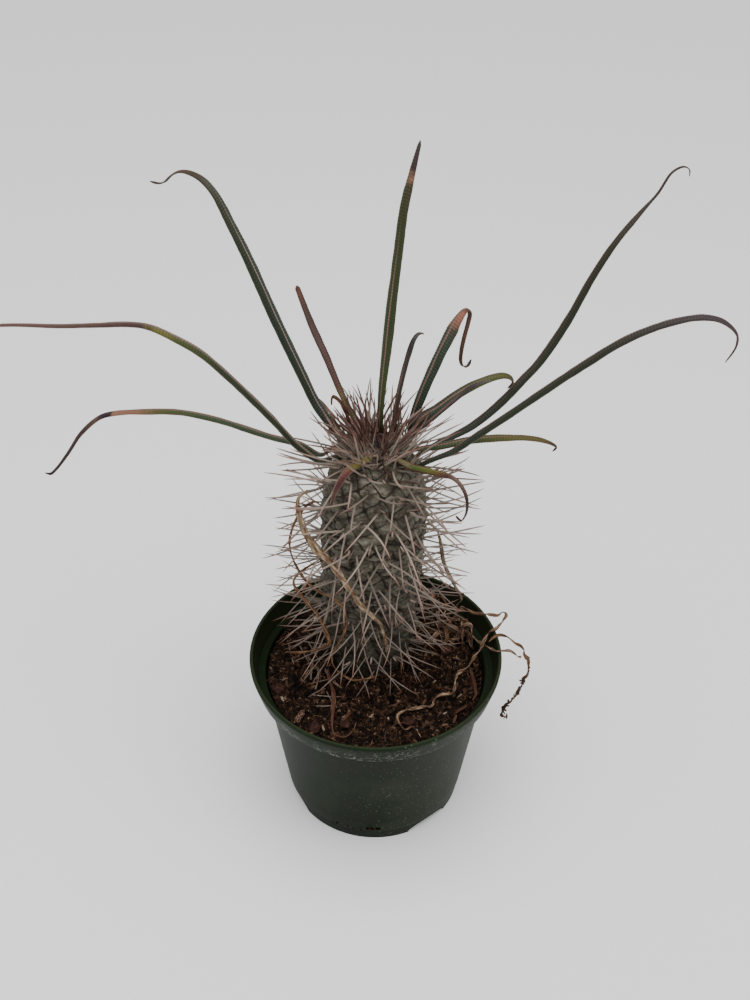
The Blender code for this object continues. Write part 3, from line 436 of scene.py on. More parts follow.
speck_noise = add_node(pot_tree, "ShaderNodeTexNoise",
                       {"Vector": place, "Scale": repeats(0.9), "Detail": 2.0})
speck_away = add_node(pot_tree, "ShaderNodeMath", {0: speck_noise, 1: 0.60, 2: speck_cells},
                      operation="MULTIPLY_ADD")
speck = add_node(pot_tree, "ShaderNodeMapRange",
                 {"Value": speck_away, "From Min": 0.51, "From Max": 0.34, "To Max": 0.36})
speck_pick = add_node(pot_tree, "ShaderNodeSeparateColor", {0: speck_cells.outputs["Color"]})
speck_kept = add_node(pot_tree, "ShaderNodeMath", {0: speck_pick, 1: 0.42}, operation="GREATER_THAN")
more_right = add_node(pot_tree, "ShaderNodeMapRange", {"Value": axes.outputs["X"], "From Min": -35 * MM,
                                                       "From Max": 10 * MM, "To Min": 0.25})
under_band = add_node(pot_tree, "ShaderNodeMapRange",
                      {"Value": height, "From Min": 104.6 * MM, "From Max": 103.6 * MM})
outside = add_node(pot_tree, "ShaderNodeMath", {0: outer_face, 1: under_band}, operation="MAXIMUM")
lime = curl
for mask in (patch, low_edge, band_only, outer_face):
    lime = add_node(pot_tree, "ShaderNodeMath", {0: lime, 1: mask}, operation="MULTIPLY")
specks = speck
for mask in (speck_kept, more_right, outside):
    specks = add_node(pot_tree, "ShaderNodeMath", {0: specks, 1: mask}, operation="MULTIPLY")
lime = add_node(pot_tree, "ShaderNodeMath", {0: lime, 1: specks}, operation="MAXIMUM")
limed = add_node(pot_tree, "ShaderNodeMix", {0: lime, 6: layer, 7: linear("#959b92")}, data_type="RGBA")
dull = add_node(pot_tree, "ShaderNodeMapRange", {"Value": lime, "To Min": 0.50, "To Max": 0.85})
grain = add_node(pot_tree, "ShaderNodeTexNoise", {"Vector": place, "Scale": repeats(0.5), "Detail": 3.0})
pot_bump = add_node(pot_tree, "ShaderNodeBump", {"Height": grain, "Strength": 0.25, "Distance": 0.05 * MM})
feed(pot_tree, pot_shader, {"Base Color": limed, "Roughness": dull, "Normal": pot_bump})
print("plastic has", len(pot_tree.nodes), "shader nodes")

# %% [markdown]
# ## The soil bed
# The potting mix is peat, pine bark and a little perlite. Seen from above it is a rough bed with
# lumps of every size. The bed itself is a disc whose height comes from the same curve as the CAD
# soil, with three layers of finer noise on top: clods 7 mm wide, crumbs of 3 mm and grit of 1.3 mm.
# It reaches down to the pot's floor, so that it is a closed solid like the CAD one. A mark on each
# corner, lump, tells how high the roughness lifts it, and the finish darkens the gaps by it as
# painted shade.

# %% Raise the soil bed
SOIL_LEVEL = 102.8 * MM
SOIL_RADIUS = 71.2 * MM
STEM_FOOT = np.array((-5.3, 15.0, 107.0)) * MM
STEM_CROWN = np.array((-1.0, 19.0, 270.0)) * MM
MOUND_RISE, MOUND_REACH = 4.0 * MM, 34 * MM
RIGHT_DIP = 2.8 * MM
SWELL_DEPTH, SWELL_SIZE = 0.7 * MM, 11 * MM
ROUGH_LAYERS_MM = ((7.0, 2.0), (3.0, 1.2), (1.3, 0.6))
HIGHEST_SOIL = 108 * MM


def soil_height(x, y):
    """The soil is highest round the stem, dips along the right wall and swells a little."""
    away = math.hypot(x - STEM_FOOT[0], y - STEM_FOOT[1])
    mound = MOUND_RISE * math.exp(-((away / MOUND_REACH) ** 2))
    right = min(max((x - 30 * MM) / (35 * MM), 0.0), 1.0)
    swell = SWELL_DEPTH * noise.noise(Vector((x, y, 0)) / SWELL_SIZE)
    return SOIL_LEVEL + mound - RIGHT_DIP * right * right + swell


def rough_height(x, y):
    """The soil's height with its clods, crumbs and grit."""
    rough = 0.0
    for size, depth in ROUGH_LAYERS_MM:
        rough += depth * MM * noise.noise(Vector((x, y, 0.3)) / (size * MM))
    edge = min(max((SOIL_RADIUS - math.hypot(x, y)) / (3 * MM), 0.15), 1.0)
    return min(soil_height(x, y) + rough * edge, HIGHEST_SOIL)


SOIL_SIDES = 420
SOIL_RINGS = 83
RING_STEP_MM = 0.85
BED_TOP = 100 * MM
bed_outline = [(ring * RING_STEP_MM * MM, SOIL_LEVEL) for ring in range(SOIL_RINGS + 1)]
bed_outline += [(SOIL_RADIUS, SOIL_LEVEL), (59.0 * MM, 8.5 * MM), (57.0 * MM, 6.0 * MM), (0.0, 6.0 * MM)]
bed_corners, bed_faces = turned(bed_outline, SOIL_SIDES)
bed_corners = [(x, y, rough_height(x, y) if z > BED_TOP else z) for x, y, z in bed_corners]
peat, peat_tree, peat_shader = new_finish("peat_and_bark_mix", 0.95, IOR=1.4, Specular_IOR_Level=0.2)
lump = [(z - soil_height(x, y)) / (1.5 * MM) if z > BED_TOP else -1.0 for x, y, z in bed_corners]
add_piece("soil_bed", bed_corners, bed_faces, peat, stands_for="soil", lump=lump)
print("soil bed:", len(bed_faces), "faces")

# %% [markdown]
# ## Crumbs, chips and fibres
# A smooth noise alone never looks like bark: it needs separate bits with their own edges and
# colours. Thousands of small broken bits are scattered over the bed, each one a distorted
# twenty-sided shape with flat faces. A few are pale perlite and straw. All of them are one mesh,
# and a number on each bit, its tint, picks its colour in the finish. Bits that lie in a gap take a
# lower tint, as less light reaches them.

# %% Scatter the crumbs
GOLDEN = (1 + math.sqrt(5)) / 2
BIT_CORNERS = np.array([(-1, GOLDEN, 0), (1, GOLDEN, 0), (-1, -GOLDEN, 0), (1, -GOLDEN, 0),
                        (0, -1, GOLDEN), (0, 1, GOLDEN), (0, -1, -GOLDEN), (0, 1, -GOLDEN),
                        (GOLDEN, 0, -1), (GOLDEN, 0, 1), (-GOLDEN, 0, -1), (-GOLDEN, 0, 1)]) / 1.9
BIT_FACES = np.array([(0, 11, 5), (0, 5, 1), (0, 1, 7), (0, 7, 10), (0, 10, 11), (1, 5, 9), (5, 11, 4),
                      (11, 10, 2), (10, 7, 6), (7, 1, 8), (3, 9, 4), (3, 4, 2), (3, 2, 6), (3, 6, 8),
                      (3, 8, 9), (4, 9, 5), (2, 4, 11), (6, 2, 10), (8, 6, 7), (9, 8, 1)])
draw = np.random.default_rng(21)


def scatter_bits(places, sizes, flatness):
    """Corners and faces of broken bits of those sizes at those places, turned at random."""
    corners, faces = [], []
    for number, (spot, size) in enumerate(zip(places, sizes)):
        turn, _ = np.linalg.qr(draw.normal(size=(3, 3)))
        shape = BIT_CORNERS * draw.uniform(0.7, 1.3, (len(BIT_CORNERS), 1)) * size / 2
        shape = shape * np.array((draw.uniform(0.9, 2.4), 0.85, flatness))
        corners.append(shape @ turn.T + spot)
        faces.append(BIT_FACES + len(BIT_CORNERS) * number)
    return np.vstack(corners), np.vstack(faces)


def on_soil(count, clear_of_stem):
    """Random places on the bed, on the soil's rough surface and clear of the stem."""
    places = []
    while len(places) < count:
        x, y = draw.uniform(-SOIL_RADIUS, SOIL_RADIUS, 2)
        if math.hypot(x, y) > SOIL_RADIUS - 0.9 * MM:
            continue
        if math.hypot(x - STEM_FOOT[0], y - STEM_FOOT[1]) < clear_of_stem:
            continue
        places.append((x, y, rough_height(x, y)))
    return np.array(places)


CRUMBS = 7400
crumb_places = on_soil(CRUMBS, 23 * MM)
crumb_sizes = MM * np.clip(draw.lognormal(0.12, 0.52, CRUMBS), 0.4, 3.6)
crumb_rise = np.array([(z - soil_height(x, y)) / (1.2 * MM) for x, y, z in crumb_places])
crumb_places[:, 2] += crumb_sizes * 0.10
crumb_corners, crumb_faces = scatter_bits(crumb_places, crumb_sizes, 0.55)
# Painted shade: bits that lie low in a gap take a lower tint, so a darker colour.
crumb_painted_shade = np.clip(0.90 + 0.40 * crumb_rise, 0.20, 1.0)
crumb_tint = np.repeat(draw.uniform(0, 1, CRUMBS) * crumb_painted_shade, len(BIT_CORNERS))
crumbs = add_piece("soil_crumbs", crumb_corners, crumb_faces, peat, smooth=False, tint=crumb_tint)
print("crumbs:", CRUMBS, "bits,", len(crumb_faces), "faces")

# %% Lay fine fibres on the soil
fibre_corners, fibre_faces = [], []
FIBRES = 110
FIBRE_RADIUS = 0.14 * MM
FIBRE_POINTS, FIBRE_SIDES = 7, 4
for number, spot in enumerate(on_soil(FIBRES, 26 * MM)):
    heading = draw.uniform(0, 2 * math.pi)
    bow = draw.uniform(-0.5, 0.5)
    reach = draw.uniform(1.5, 9.0) * MM
    line = []
    for share in np.linspace(-0.5, 0.5, FIBRE_POINTS):
        angle = heading + bow * share
        x = spot[0] + math.cos(angle) * share * reach
        y = spot[1] + math.sin(angle) * share * reach
        line.append((x, y, spot[2] + 0.8 * MM + draw.uniform(-0.2, 0.2) * MM))
    line = np.array(line)
    sides, ups = frames_along(line, UP * 0.3 + np.array((math.sin(heading), -math.cos(heading), 0)))
    for point, side, up in zip(line, sides, ups):
        for corner in range(FIBRE_SIDES):
            angle = 2 * math.pi * corner / FIBRE_SIDES
            fibre_corners.append(point + FIBRE_RADIUS * (math.cos(angle) * side + math.sin(angle) * up))
    first = number * FIBRE_POINTS * FIBRE_SIDES
    fibre_faces += [tuple(first + corner for corner in face)
                    for face in tube_faces(FIBRE_POINTS, FIBRE_SIDES)]
straw, straw_tree, straw_shader = new_finish("peat_fibre", 0.8)
straw_place = add_node(straw_tree, "ShaderNodeTexCoord").outputs["Object"]
straw_noise = add_node(straw_tree, "ShaderNodeTexNoise",
                       {"Vector": straw_place, "Scale": repeats(9), "Detail": 2.0})
straw_ramp = add_node(straw_tree, "ShaderNodeValToRGB", {"Fac": straw_noise},
                      stops=((0.36, "#38241a"), (0.52, "#66482f"), (0.66, "#94754f")))
feed(straw_tree, straw_shader, {"Base Color": straw_ramp})
fibres = add_piece("soil_fibres", fibre_corners, fibre_faces, straw)
print("fibres:", FIBRES)

# %% [markdown]
# ## The colour of wet peat
# Peat and bark are dark brown to red-brown. On the bed, painted shade makes the gaps almost black
# and painted light makes the high broken faces red-brown: the bed uses noise at 1.4 mm and its lump
# mark for that change. On the crumbs the tint mark picks from a ramp: most are dark brown,
# some are lighter, a few are straw or grey, and those low in a gap pick darker as painted shade. Both
# share one material: a corner of the bed has no tint mark, so it reads 0, and that tells
# the bed from the bits.

# %% Finish the soil
place = add_node(peat_tree, "ShaderNodeTexCoord").outputs["Object"]
peat_noise = add_node(peat_tree, "ShaderNodeTexNoise",
                      {"Vector": place, "Scale": repeats(1.4), "Detail": 6.0, "Roughness": 0.7})
lump_mark = add_node(peat_tree, "ShaderNodeAttribute", attribute_name="lump").outputs["Fac"]
# Painted shade and light: the lump mark darkens the gaps and lightens the high faces; the noise is the peat's
# own tone.
peat_tone_and_painted_shade = add_node(peat_tree, "ShaderNodeMath", {0: lump_mark, 1: 0.14, 2: peat_noise},
                      operation="MULTIPLY_ADD")
peat_ramp = add_node(peat_tree, "ShaderNodeValToRGB", {"Fac": peat_tone_and_painted_shade},
                     stops=((0.40, "#040201"), (0.54, "#1a0f09"), (0.70, "#422a1c")))
tint_mark = add_node(peat_tree, "ShaderNodeAttribute", attribute_name="tint").outputs["Fac"]
tint_ramp = add_node(peat_tree, "ShaderNodeValToRGB", {"Fac": tint_mark},
                     stops=((0.0, "#0a0604"), (0.30, "#1d130c"), (0.56, "#36251a"), (0.80, "#503a2a"),
                            (0.94, "#6f5844"), (0.99, "#7d6b59"), (1.0, "#94897b")))
is_bit = add_node(peat_tree, "ShaderNodeMath", {0: tint_mark, 1: 0.0001}, operation="GREATER_THAN")
peat_mix = add_node(peat_tree, "ShaderNodeMix", {0: is_bit, 6: peat_ramp, 7: tint_ramp}, data_type="RGBA")
peat_bump = add_node(peat_tree, "ShaderNodeBump",
                     {"Height": peat_noise, "Strength": 0.8, "Distance": 0.6 * MM})
feed(peat_tree, peat_shader, {"Base Color": peat_mix, "Normal": peat_bump})
print("soil finish has", len(peat_tree.nodes), "shader nodes")

# %% [markdown]
# ## The stem's skin
# The stem is a caudex: a trunk that stores water. Each leaf that it has dropped leaves a tubercle,
# a low diamond-shaped swelling, and new ones come at a golden-angle turn from the last. So tubercle
# n has its neighbours n + 8 and n + 13 up the two spirals that the eye follows. A grid is laid in
# every diamond and raised with one function. Near the crown the tubercles are young: flat on top
# and steep into the crack. Lower down they have weathered to round swellings with a crescent crack
# under each, and folds and wrinkles run across them. Every one has a knob where its spines stand.
# The outline, the turns and the size are those of the CAD stem. The corner of a diamond is half of
# 8 + 13 tubercles up or down the stem from its middle, so the first and the last have their middles
# that far inside the outline.

# %% Map the stem's spirals
STEM_OUTLINE_MM = (
    (15.0, 82.0), (20.0, 86.0), (22.5, 94.0), (24.0, 104.0), (26.8, 115.0), (29.0, 130.0),
    (30.3, 160.0), (31.2, 190.0), (31.6, 215.0), (30.6, 235.0), (27.8, 249.0), (23.0, 261.0),
    (16.5, 267.5), (9.0, 270.5), (4.0, 271.3),
)
GOLDEN_TURN = math.radians(137.50776)
TUBERCLE_AREA = 205 * MM * MM
DOME_START = 236 * MM
SPIRALS = (8, 13)


def stem_axis(height):
    """The centre of the stem at a height, or at each of several heights."""
    share = (np.asarray(height) - STEM_FOOT[2]) / (STEM_CROWN[2] - STEM_FOOT[2])
    return STEM_FOOT[:2] + np.multiply.outer(share, STEM_CROWN[:2] - STEM_FOOT[:2])


def stem_table():
    """The stem's outline with the number of tubercles that fit below each height."""
    route = [(radius * MM, 0.0, height * MM) for radius, height in STEM_OUTLINE_MM]
    radius, _, height = smooth_route(route).T
    step = np.hypot(np.diff(radius), np.diff(height))
    middle = (radius[1:] + radius[:-1]) / 2
    on_dome = (height[1:] > DOME_START) * (middle < radius.max())
    area = TUBERCLE_AREA * np.where(on_dome, (middle / radius.max()) ** 2, 1.0)
    count = np.concatenate([[0.0], np.cumsum(2 * math.pi * middle * step / area)])
    slope = np.stack([np.gradient(height), -np.gradient(radius)], axis=1)
    slope /= np.linalg.norm(slope, axis=1)[:, None]
    return dict(count=count, radius=radius, height=height, out=slope[:, 0], up=slope[:, 1])


def turn_of(count):
    """The turn between tubercles that many apart, taken the short way round."""
    return (count * GOLDEN_TURN + math.pi) % (2 * math.pi) - math.pi


def stem_places(table, number, along, across):
    """Places on the bare stem with their outward ways, radius and height, for arrays of numbers."""
    one, two = SPIRALS
    index = number + one * along + two * across
    angle = number * GOLDEN_TURN + along * turn_of(one) + across * turn_of(two)
    radius, height, out, up = (
        np.interp(index, table["count"], table[key]) for key in ("radius", "height", "out", "up"))
    round_ = np.stack([np.cos(angle), np.sin(angle), np.zeros_like(angle)], axis=-1)
    normal = round_ * out[..., None] + UP * up[..., None]
    normal /= np.linalg.norm(normal, axis=-1)[..., None]
    place = round_ * radius[..., None]
    place[..., :2] += stem_axis(height)
    place[..., 2] += height
    return place, normal, radius, height


table = stem_table()
print("tubercles that fit on the stem:", int(table["count"][-1]))

# %% Raise the tubercles
CELL_STEPS = 18
TUBERCLE_RISE = 2.1 * MM
BURIED_HEIGHT = 104.5 * MM
FIRST_YOUNG, ALL_YOUNG = 222 * MM, 246 * MM
DIAMOND_MM = (25, 16)
KNOB_PLACE = 0.08
KNOB_WIDTH_MM = 2.2


def smooth_step(low, high, value):
    """0 below low, 1 above high and an even curve between them."""
    share = np.clip((value - low) / (high - low), 0.0, 1.0)
    return share * share * (3 - 2 * share)


def tubercle_rise(along, across, shift, young):
    """How high a tubercle is and how deep in a crack a place is, both as shares. shift bends the
    sides of the diamonds, the same way for neighbours."""
    bent_along = (along + shift + 0.5) % 1 - 0.5
    bent_across = (across - 0.7 * shift + 0.5) % 1 - 0.5
    away = (np.abs(2 * bent_along) ** 6 + np.abs(2 * bent_across) ** 6) ** (1 / 6)
    plateau = (1.0 - smooth_step(0.76, 1.04, away)) * 0.62
    swelling = 0.05 + 0.80 * np.cos(math.pi * bent_along) * np.cos(math.pi * bent_across)
    crescent = smooth_step(0.60, 0.95, away) * smooth_step(0.15, -0.40, bent_along + bent_across)
    knob_away = np.hypot((along - KNOB_PLACE) * DIAMOND_MM[0], (across - KNOB_PLACE) * DIAMOND_MM[1])
    knob = np.exp(-((knob_away / KNOB_WIDTH_MM) ** 2))
    rise = young * plateau + (1 - young) * (swelling - 0.45 * crescent) + 0.30 * knob
    crack = young * smooth_step(0.86, 1.03, away) + (1 - young) * 0.75 * crescent
    return rise, crack


CELL_REACH = sum(SPIRALS) / 2
first_cell, last_cell = math.ceil(CELL_REACH), int(table["count"][-1] - CELL_REACH)
steps = np.linspace(-0.5, 0.5, CELL_STEPS + 1)
cells = np.arange(first_cell, last_cell, dtype=float)
number, along, across = np.meshgrid(cells, steps, steps, indexing="ij")
place, normal, radius, height = stem_places(table, number, along, across)
settle = np.clip((height - BURIED_HEIGHT) / (8 * MM), 0.0, 1.0) * radius / table["radius"].max()
settle = settle.reshape(-1)
young = smooth_step(FIRST_YOUNG, ALL_YOUNG, height)
flat_places = place.reshape(-1, 3)
shift = 0.16 * np.array([noise.noise(Vector(spot) / (7 * MM)) for spot in flat_places]).reshape(young.shape)
share, crack = (values.reshape(-1) for values in tubercle_rise(along, across, shift, young))
young = young.reshape(-1)
wrinkle = np.array([noise.noise(Vector((x * 0.45, y * 0.45, z)) / (3.4 * MM))
                    + 0.35 * noise.noise(Vector((x, y, z)) / (1.4 * MM)) for x, y, z in flat_places])
fold = np.array([noise.noise(Vector((x * 0.42, y * 0.42, z)) / (6.2 * MM)) for x, y, z in flat_places])
fold = np.exp(-((fold / 0.070) ** 2)) * (1 - 0.7 * young)
rise = (TUBERCLE_RISE * share + MM * (0.32 * wrinkle - 0.80 * fold)) * settle
skin_corners = flat_places + normal.reshape(-1, 3) * rise[:, None]
# The folds and the wrinkle hollows join the crack mark, which the bark finish paints as shade.
crack = np.maximum(crack, 0.90 * fold)
crack = np.maximum(crack, np.clip(-1.0 * wrinkle - 0.30, 0.0, 0.5))
row = CELL_STEPS + 1
cell_faces = [(a * row + b, a * row + b + 1, (a + 1) * row + b + 1, (a + 1) * row + b)
              for a in range(CELL_STEPS) for b in range(CELL_STEPS)]
first_corners = (np.arange(len(cells)) * row * row)[:, None, None]
skin_faces = (np.array(cell_faces)[None] + first_corners).reshape(-1, 4)
bark, bark_tree, bark_shader = new_finish("grey_caudex_bark", 0.8, IOR=1.45, Specular_IOR_Level=0.25)
stem = add_piece("stem_skin", skin_corners, skin_faces[:, ::-1], bark, stands_for="stem",
                 crack=crack, age=(height.reshape(-1) - 100 * MM) / (170 * MM))
shape = bmesh.new()
shape.from_mesh(stem.data)
bmesh.ops.remove_doubles(shape, verts=shape.verts, dist=0.02 * MM)
for centre_height in (table["height"][0], table["height"][-1]):
    tip = shape.verts.new((*stem_axis(centre_height), centre_height))
    for edge in [edge for edge in shape.edges if edge.is_boundary]:
        if abs(edge.verts[0].co.z - centre_height) < 90 * MM:
            shape.faces.new((edge.verts[0], edge.verts[1], tip))
bmesh.ops.recalc_face_normals(shape, faces=shape.faces)
shape.to_mesh(stem.data)
shape.free()
stem.data.polygons.foreach_set("use_smooth", [True] * len(stem.data.polygons))
print("stem skin:", len(stem.data.polygons), "faces")

# %% [markdown]
# ## Find the spines
# The CAD stem carries three-sided needles that keep clear of each other, of the leaves and of the
# soil. Each ends in one very sharp corner, where the angles of its faces add up to less than 0.6
# radian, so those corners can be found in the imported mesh. The ways to the corner's neighbours,
# added up, point down the needle, and a ray along that way finds the skin that it grows from. The
# lowest spines are the oldest and their points have worn away, so they are a fifth shorter. To
# these the lesson adds what is too fine for the CAD stem: the crown's finest spines, the stubs of
# broken ones on their knobs, and a few that have fallen on the soil to the left.

# %% Read the needles off the CAD stem
WORN_HEIGHT = 135 * MM
NEEDLE_CORNER = 0.6
LONGEST_SPINE = 60 * MM
cad_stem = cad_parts["stem"].data
cad_stem.calc_loop_triangles()
raw = np.array([vertex.co for vertex in cad_stem.vertices])
merged, where = np.unique(np.round(raw, 6), axis=0, return_inverse=True)
triangles = where.ravel()[np.array([triangle.vertices[:] for triangle in cad_stem.loop_triangles])]
angle_sum = np.zeros(len(merged))
inward = np.zeros((len(merged), 3))
for turn_by in range(3):
    here, one, two = (merged[triangles[:, (turn_by + step) % 3]] for step in range(3))
    to_one = (one - here) / np.maximum(np.linalg.norm(one - here, axis=1), 1e-9)[:, None]
    to_two = (two - here) / np.maximum(np.linalg.norm(two - here, axis=1), 1e-9)[:, None]
    np.add.at(angle_sum, triangles[:, turn_by], np.arccos(np.clip((to_one * to_two).sum(1), -1, 1)))
    np.add.at(inward, triangles[:, turn_by], to_one + to_two)
tips = merged[angle_sum < NEEDLE_CORNER]
inward = inward[angle_sum < NEEDLE_CORNER]
inward /= np.linalg.norm(inward, axis=1)[:, None]
skin_tree = BVHTree.FromObject(stem, bpy.context.evaluated_depsgraph_get())
spines = []
for tip, way in zip(tips, inward):
    hit = skin_tree.ray_cast(Vector(tip), Vector(way))
    if hit[0] is not None and hit[3] < LONGEST_SPINE:
        root = np.array(hit[0])
        worn = 0.80 + 0.20 * smooth_step(WORN_HEIGHT - 20 * MM, WORN_HEIGHT + 10 * MM, root[2])
        spines.append((root, root + (tip - root) * worn))
print("needles found:", len(tips), "rooted on the skin:", len(spines))

# %% Add the crown's finest spines
CROWN_SPINES = 70
CROWN_RADIUS = 19 * MM
crown_draw = np.random.default_rng(17)
for _ in range(CROWN_SPINES):
    compass = crown_draw.uniform(0, 2 * math.pi)
    away = CROWN_RADIUS * math.sqrt(crown_draw.uniform(0.05, 1))
    outward = np.array((math.cos(compass), math.sin(compass), 0.0))
    above = np.array((*STEM_CROWN[:2], 290 * MM)) + outward * away
    hit = skin_tree.ray_cast(Vector(above), Vector((0, 0, -1)))
    lean = crown_draw.uniform(0.3, 1.5) * away / CROWN_RADIUS
    way = outward * lean + UP + crown_draw.normal(0, 0.16, 3)
    way /= np.linalg.norm(way)
    spines.append((np.array(hit[0]), np.array(hit[0]) + way * crown_draw.uniform(15, 29) * MM))
print("with the finest ones:", len(spines))

# %% Leave the stubs of broken spines
STUBS = 90
LONGEST_STUB = 7 * MM
ABOVE_SOIL, BELOW_CROWN = 24, last_cell - 20
stub_draw = np.random.default_rng(29)
for number in stub_draw.choice(np.arange(ABOVE_SOIL, BELOW_CROWN), STUBS, replace=False):
    aside = stub_draw.uniform(-0.16, 0.16)
    spot = (np.array([value]) for value in (float(number), KNOB_PLACE - aside, KNOB_PLACE + aside))
    (place,), (normal,), _, _ = stem_places(table, *spot)
    way = normal + 0.35 * stub_draw.normal(size=3) - 0.2 * UP
    way /= np.linalg.norm(way)
    root = place + normal * 0.8 * MM
    spines.append((root, root + way * stub_draw.uniform(0.5, 0.95) * LONGEST_STUB))
print("with the stubs:", len(spines))

# %% Drop a few spines on the soil
FALLEN = 9
fallen_draw = np.random.default_rng(13)
for _ in range(FALLEN):
    compass = math.radians(fallen_draw.normal(195, 26))
    away = fallen_draw.uniform(34, 52) * MM
    middle = STEM_FOOT[:2] + away * np.array((math.cos(compass), math.sin(compass)))
    heading = fallen_draw.uniform(0, 2 * math.pi)
    reach = fallen_draw.uniform(7, 13) * MM * np.array((math.cos(heading), math.sin(heading)))
    if max(np.linalg.norm(middle + reach), np.linalg.norm(middle - reach)) > SOIL_RADIUS - 2 * MM:
        continue
    root, tip = ((*spot, rough_height(*spot) + 1.3 * MM) for spot in (middle - reach, middle + reach))
    spines.append((np.array(root), np.array(tip)))
print("with the fallen ones:", len(spines))

# %% [markdown]
# ## Grow the spines
# A real spine is round, keeps its width for most of its length, bows a little and ends in a short
# sharp point. Each becomes a seven-sided tube with a thick foot that sinks into the skin. Its bow
# is mostly a few hundredths of its length, and the tip stays where the line found above ends. Low
# down the spines are thinner, as they are older, and darker, which is painted shade, and the
# youngest are almost straight.

# %% Build the spines
SPINE_SIDES = 7
SPINE_SHAPE = ((0.0, 1.55), (0.05, 1.15), (0.14, 1.0), (0.34, 0.96), (0.56, 0.90), (0.74, 0.80),
               (0.88, 0.58), (0.96, 0.30), (1.0, 0.06))
SPINE_TUBE = tube_faces(len(SPINE_SHAPE), SPINE_SIDES)
SPINE_HALF_WIDTH = 0.60 * MM
STUB_HALF_WIDTH = 0.66 * MM
spine_draw = np.random.default_rng(5)
spine_corners, spine_faces, spine_along, spine_youth, spine_tint = [], [], [], [], []
for root, tip in spines:
    run = tip - root
    length = np.linalg.norm(run)
    head = run / length
    foot = root - head * 1.0 * MM
    side = np.cross(head, UP + 0.1 * spine_draw.normal(size=3))
    side /= np.linalg.norm(side)
    over = np.cross(side, head)
    bow = length * (spine_draw.normal(0, 0.030) * side + spine_draw.normal(-0.012, 0.030) * over)
    youth = smooth_step(17 * MM, 6 * MM, np.linalg.norm(root[:2] - STEM_CROWN[:2])) * (root[2] > DOME_START)
    bow *= 1 - 0.7 * youth
    youth *= spine_draw.uniform(0.6, 1.0)
    high = smooth_step(130 * MM, 240 * MM, root[2])
    thick = SPINE_HALF_WIDTH * spine_draw.uniform(0.85, 1.12) * (0.72 + 0.28 * min(1.0, length / (30 * MM)))
    thick *= 0.74 + 0.26 * high + 0.08 * youth
    # A random tone for each spine, darker low on the stem as painted shade.
    tint_value = spine_draw.uniform(0, 1) * (0.35 + 0.60 * high)
    if length < LONGEST_STUB:
        thick, tint_value = STUB_HALF_WIDTH, 1.0
    first = len(spine_corners)
    for share, width in SPINE_SHAPE:
        centre = foot + (tip - foot) * share + bow * 4 * share * (1 - share)
        for corner in range(SPINE_SIDES):
            angle = 2 * math.pi * corner / SPINE_SIDES
            spine_corners.append(centre + thick * width * (math.cos(angle) * side + math.sin(angle) * over))
            spine_along.append(share ** (1 - 0.55 * youth))
            spine_youth.append(youth)
            spine_tint.append(tint_value)
    spine_faces += [tuple(first + corner for corner in face) for face in SPINE_TUBE]
wood, wood_tree, wood_shader = new_finish("woody_spine", 0.6, IOR=1.5, Specular_IOR_Level=0.3)
spine_piece = add_piece("stem_spines", spine_corners, spine_faces, wood,
                        along=spine_along, youth=spine_youth, tint=spine_tint)
print("spines:", len(spines), "faces:", len(spine_faces))

# %% [markdown]
# ## Bark and spine finishes
# The bark is grey-brown cork over green tissue, darker low down where it is old. Painted shade makes
# it nearly black in the cracks, the folds and the wrinkle hollows, so the tops of the tubercles stay
# paler. Stains darken it in patches, and fine cracks follow the edges of a Voronoi pattern that noise
# bends. The spines are dead wood: beige with a pinkish cast and a brown point, with painted shade on
# those low on the stem. The youngest ones at the crown are beige at the foot and dark maroon above
# it. The numbers stored on the corners, crack, age, along, youth and tint, drive these
# changes.

# %% Finish the bark
place = add_node(bark_tree, "ShaderNodeTexCoord").outputs["Object"]
crack_mark = add_node(bark_tree, "ShaderNodeAttribute", attribute_name="crack").outputs["Fac"]
lying = add_node(bark_tree, "ShaderNodeVectorMath", {0: place, 1: (0.42, 0.42, 1.0)}, operation="MULTIPLY")
bark_noise = add_node(bark_tree, "ShaderNodeTexNoise",
                      {"Vector": lying, "Scale": repeats(3.6), "Detail": 7.0, "Roughness": 0.65})
bark_ramp = add_node(bark_tree, "ShaderNodeValToRGB", {"Fac": bark_noise},
                     stops=((0.30, "#383329"), (0.48, "#575247"), (0.62, "#746f62"), (0.76, "#9c978b")))
# Painted shade: the cracks, folds and wrinkle hollows are darkened nearly to black.
crack_shade_share = add_node(bark_tree, "ShaderNodeMapRange",
                      {"Value": crack_mark, "From Min": 0.10, "From Max": 0.75, "To Max": 0.94})
crack_painted_shade = add_node(bark_tree, "ShaderNodeMix", {0: crack_shade_share, 6: bark_ramp, 7: linear("#120e0a")},
                   data_type="RGBA")
old_mark = add_node(bark_tree, "ShaderNodeAttribute", attribute_name="age").outputs["Fac"]
old_share = add_node(bark_tree, "ShaderNodeMapRange",
                     {"Value": old_mark, "From Min": 0.62, "From Max": 0.05, "To Max": 0.78})
aged = add_node(bark_tree, "ShaderNodeMix", {0: old_share, 6: crack_painted_shade, 7: linear("#29221a")},
                data_type="RGBA")
stain_noise = add_node(bark_tree, "ShaderNodeTexNoise",
                       {"Vector": place, "Scale": repeats(13), "Detail": 4.0})
stain_patch = add_node(bark_tree, "ShaderNodeMapRange",
                       {"Value": stain_noise, "From Min": 0.48, "From Max": 0.64, "To Max": 0.72})
stain_height = add_node(bark_tree, "ShaderNodeMapRange",
                        {"Value": old_mark, "From Min": 0.55, "From Max": 0.80, "To Min": 0.22})
stain = add_node(bark_tree, "ShaderNodeMath", {0: stain_patch, 1: stain_height}, operation="MULTIPLY")
stained = add_node(bark_tree, "ShaderNodeMix", {0: stain, 6: aged, 7: linear("#383026")}, data_type="RGBA")
CRACK_BEND = 5 * MM
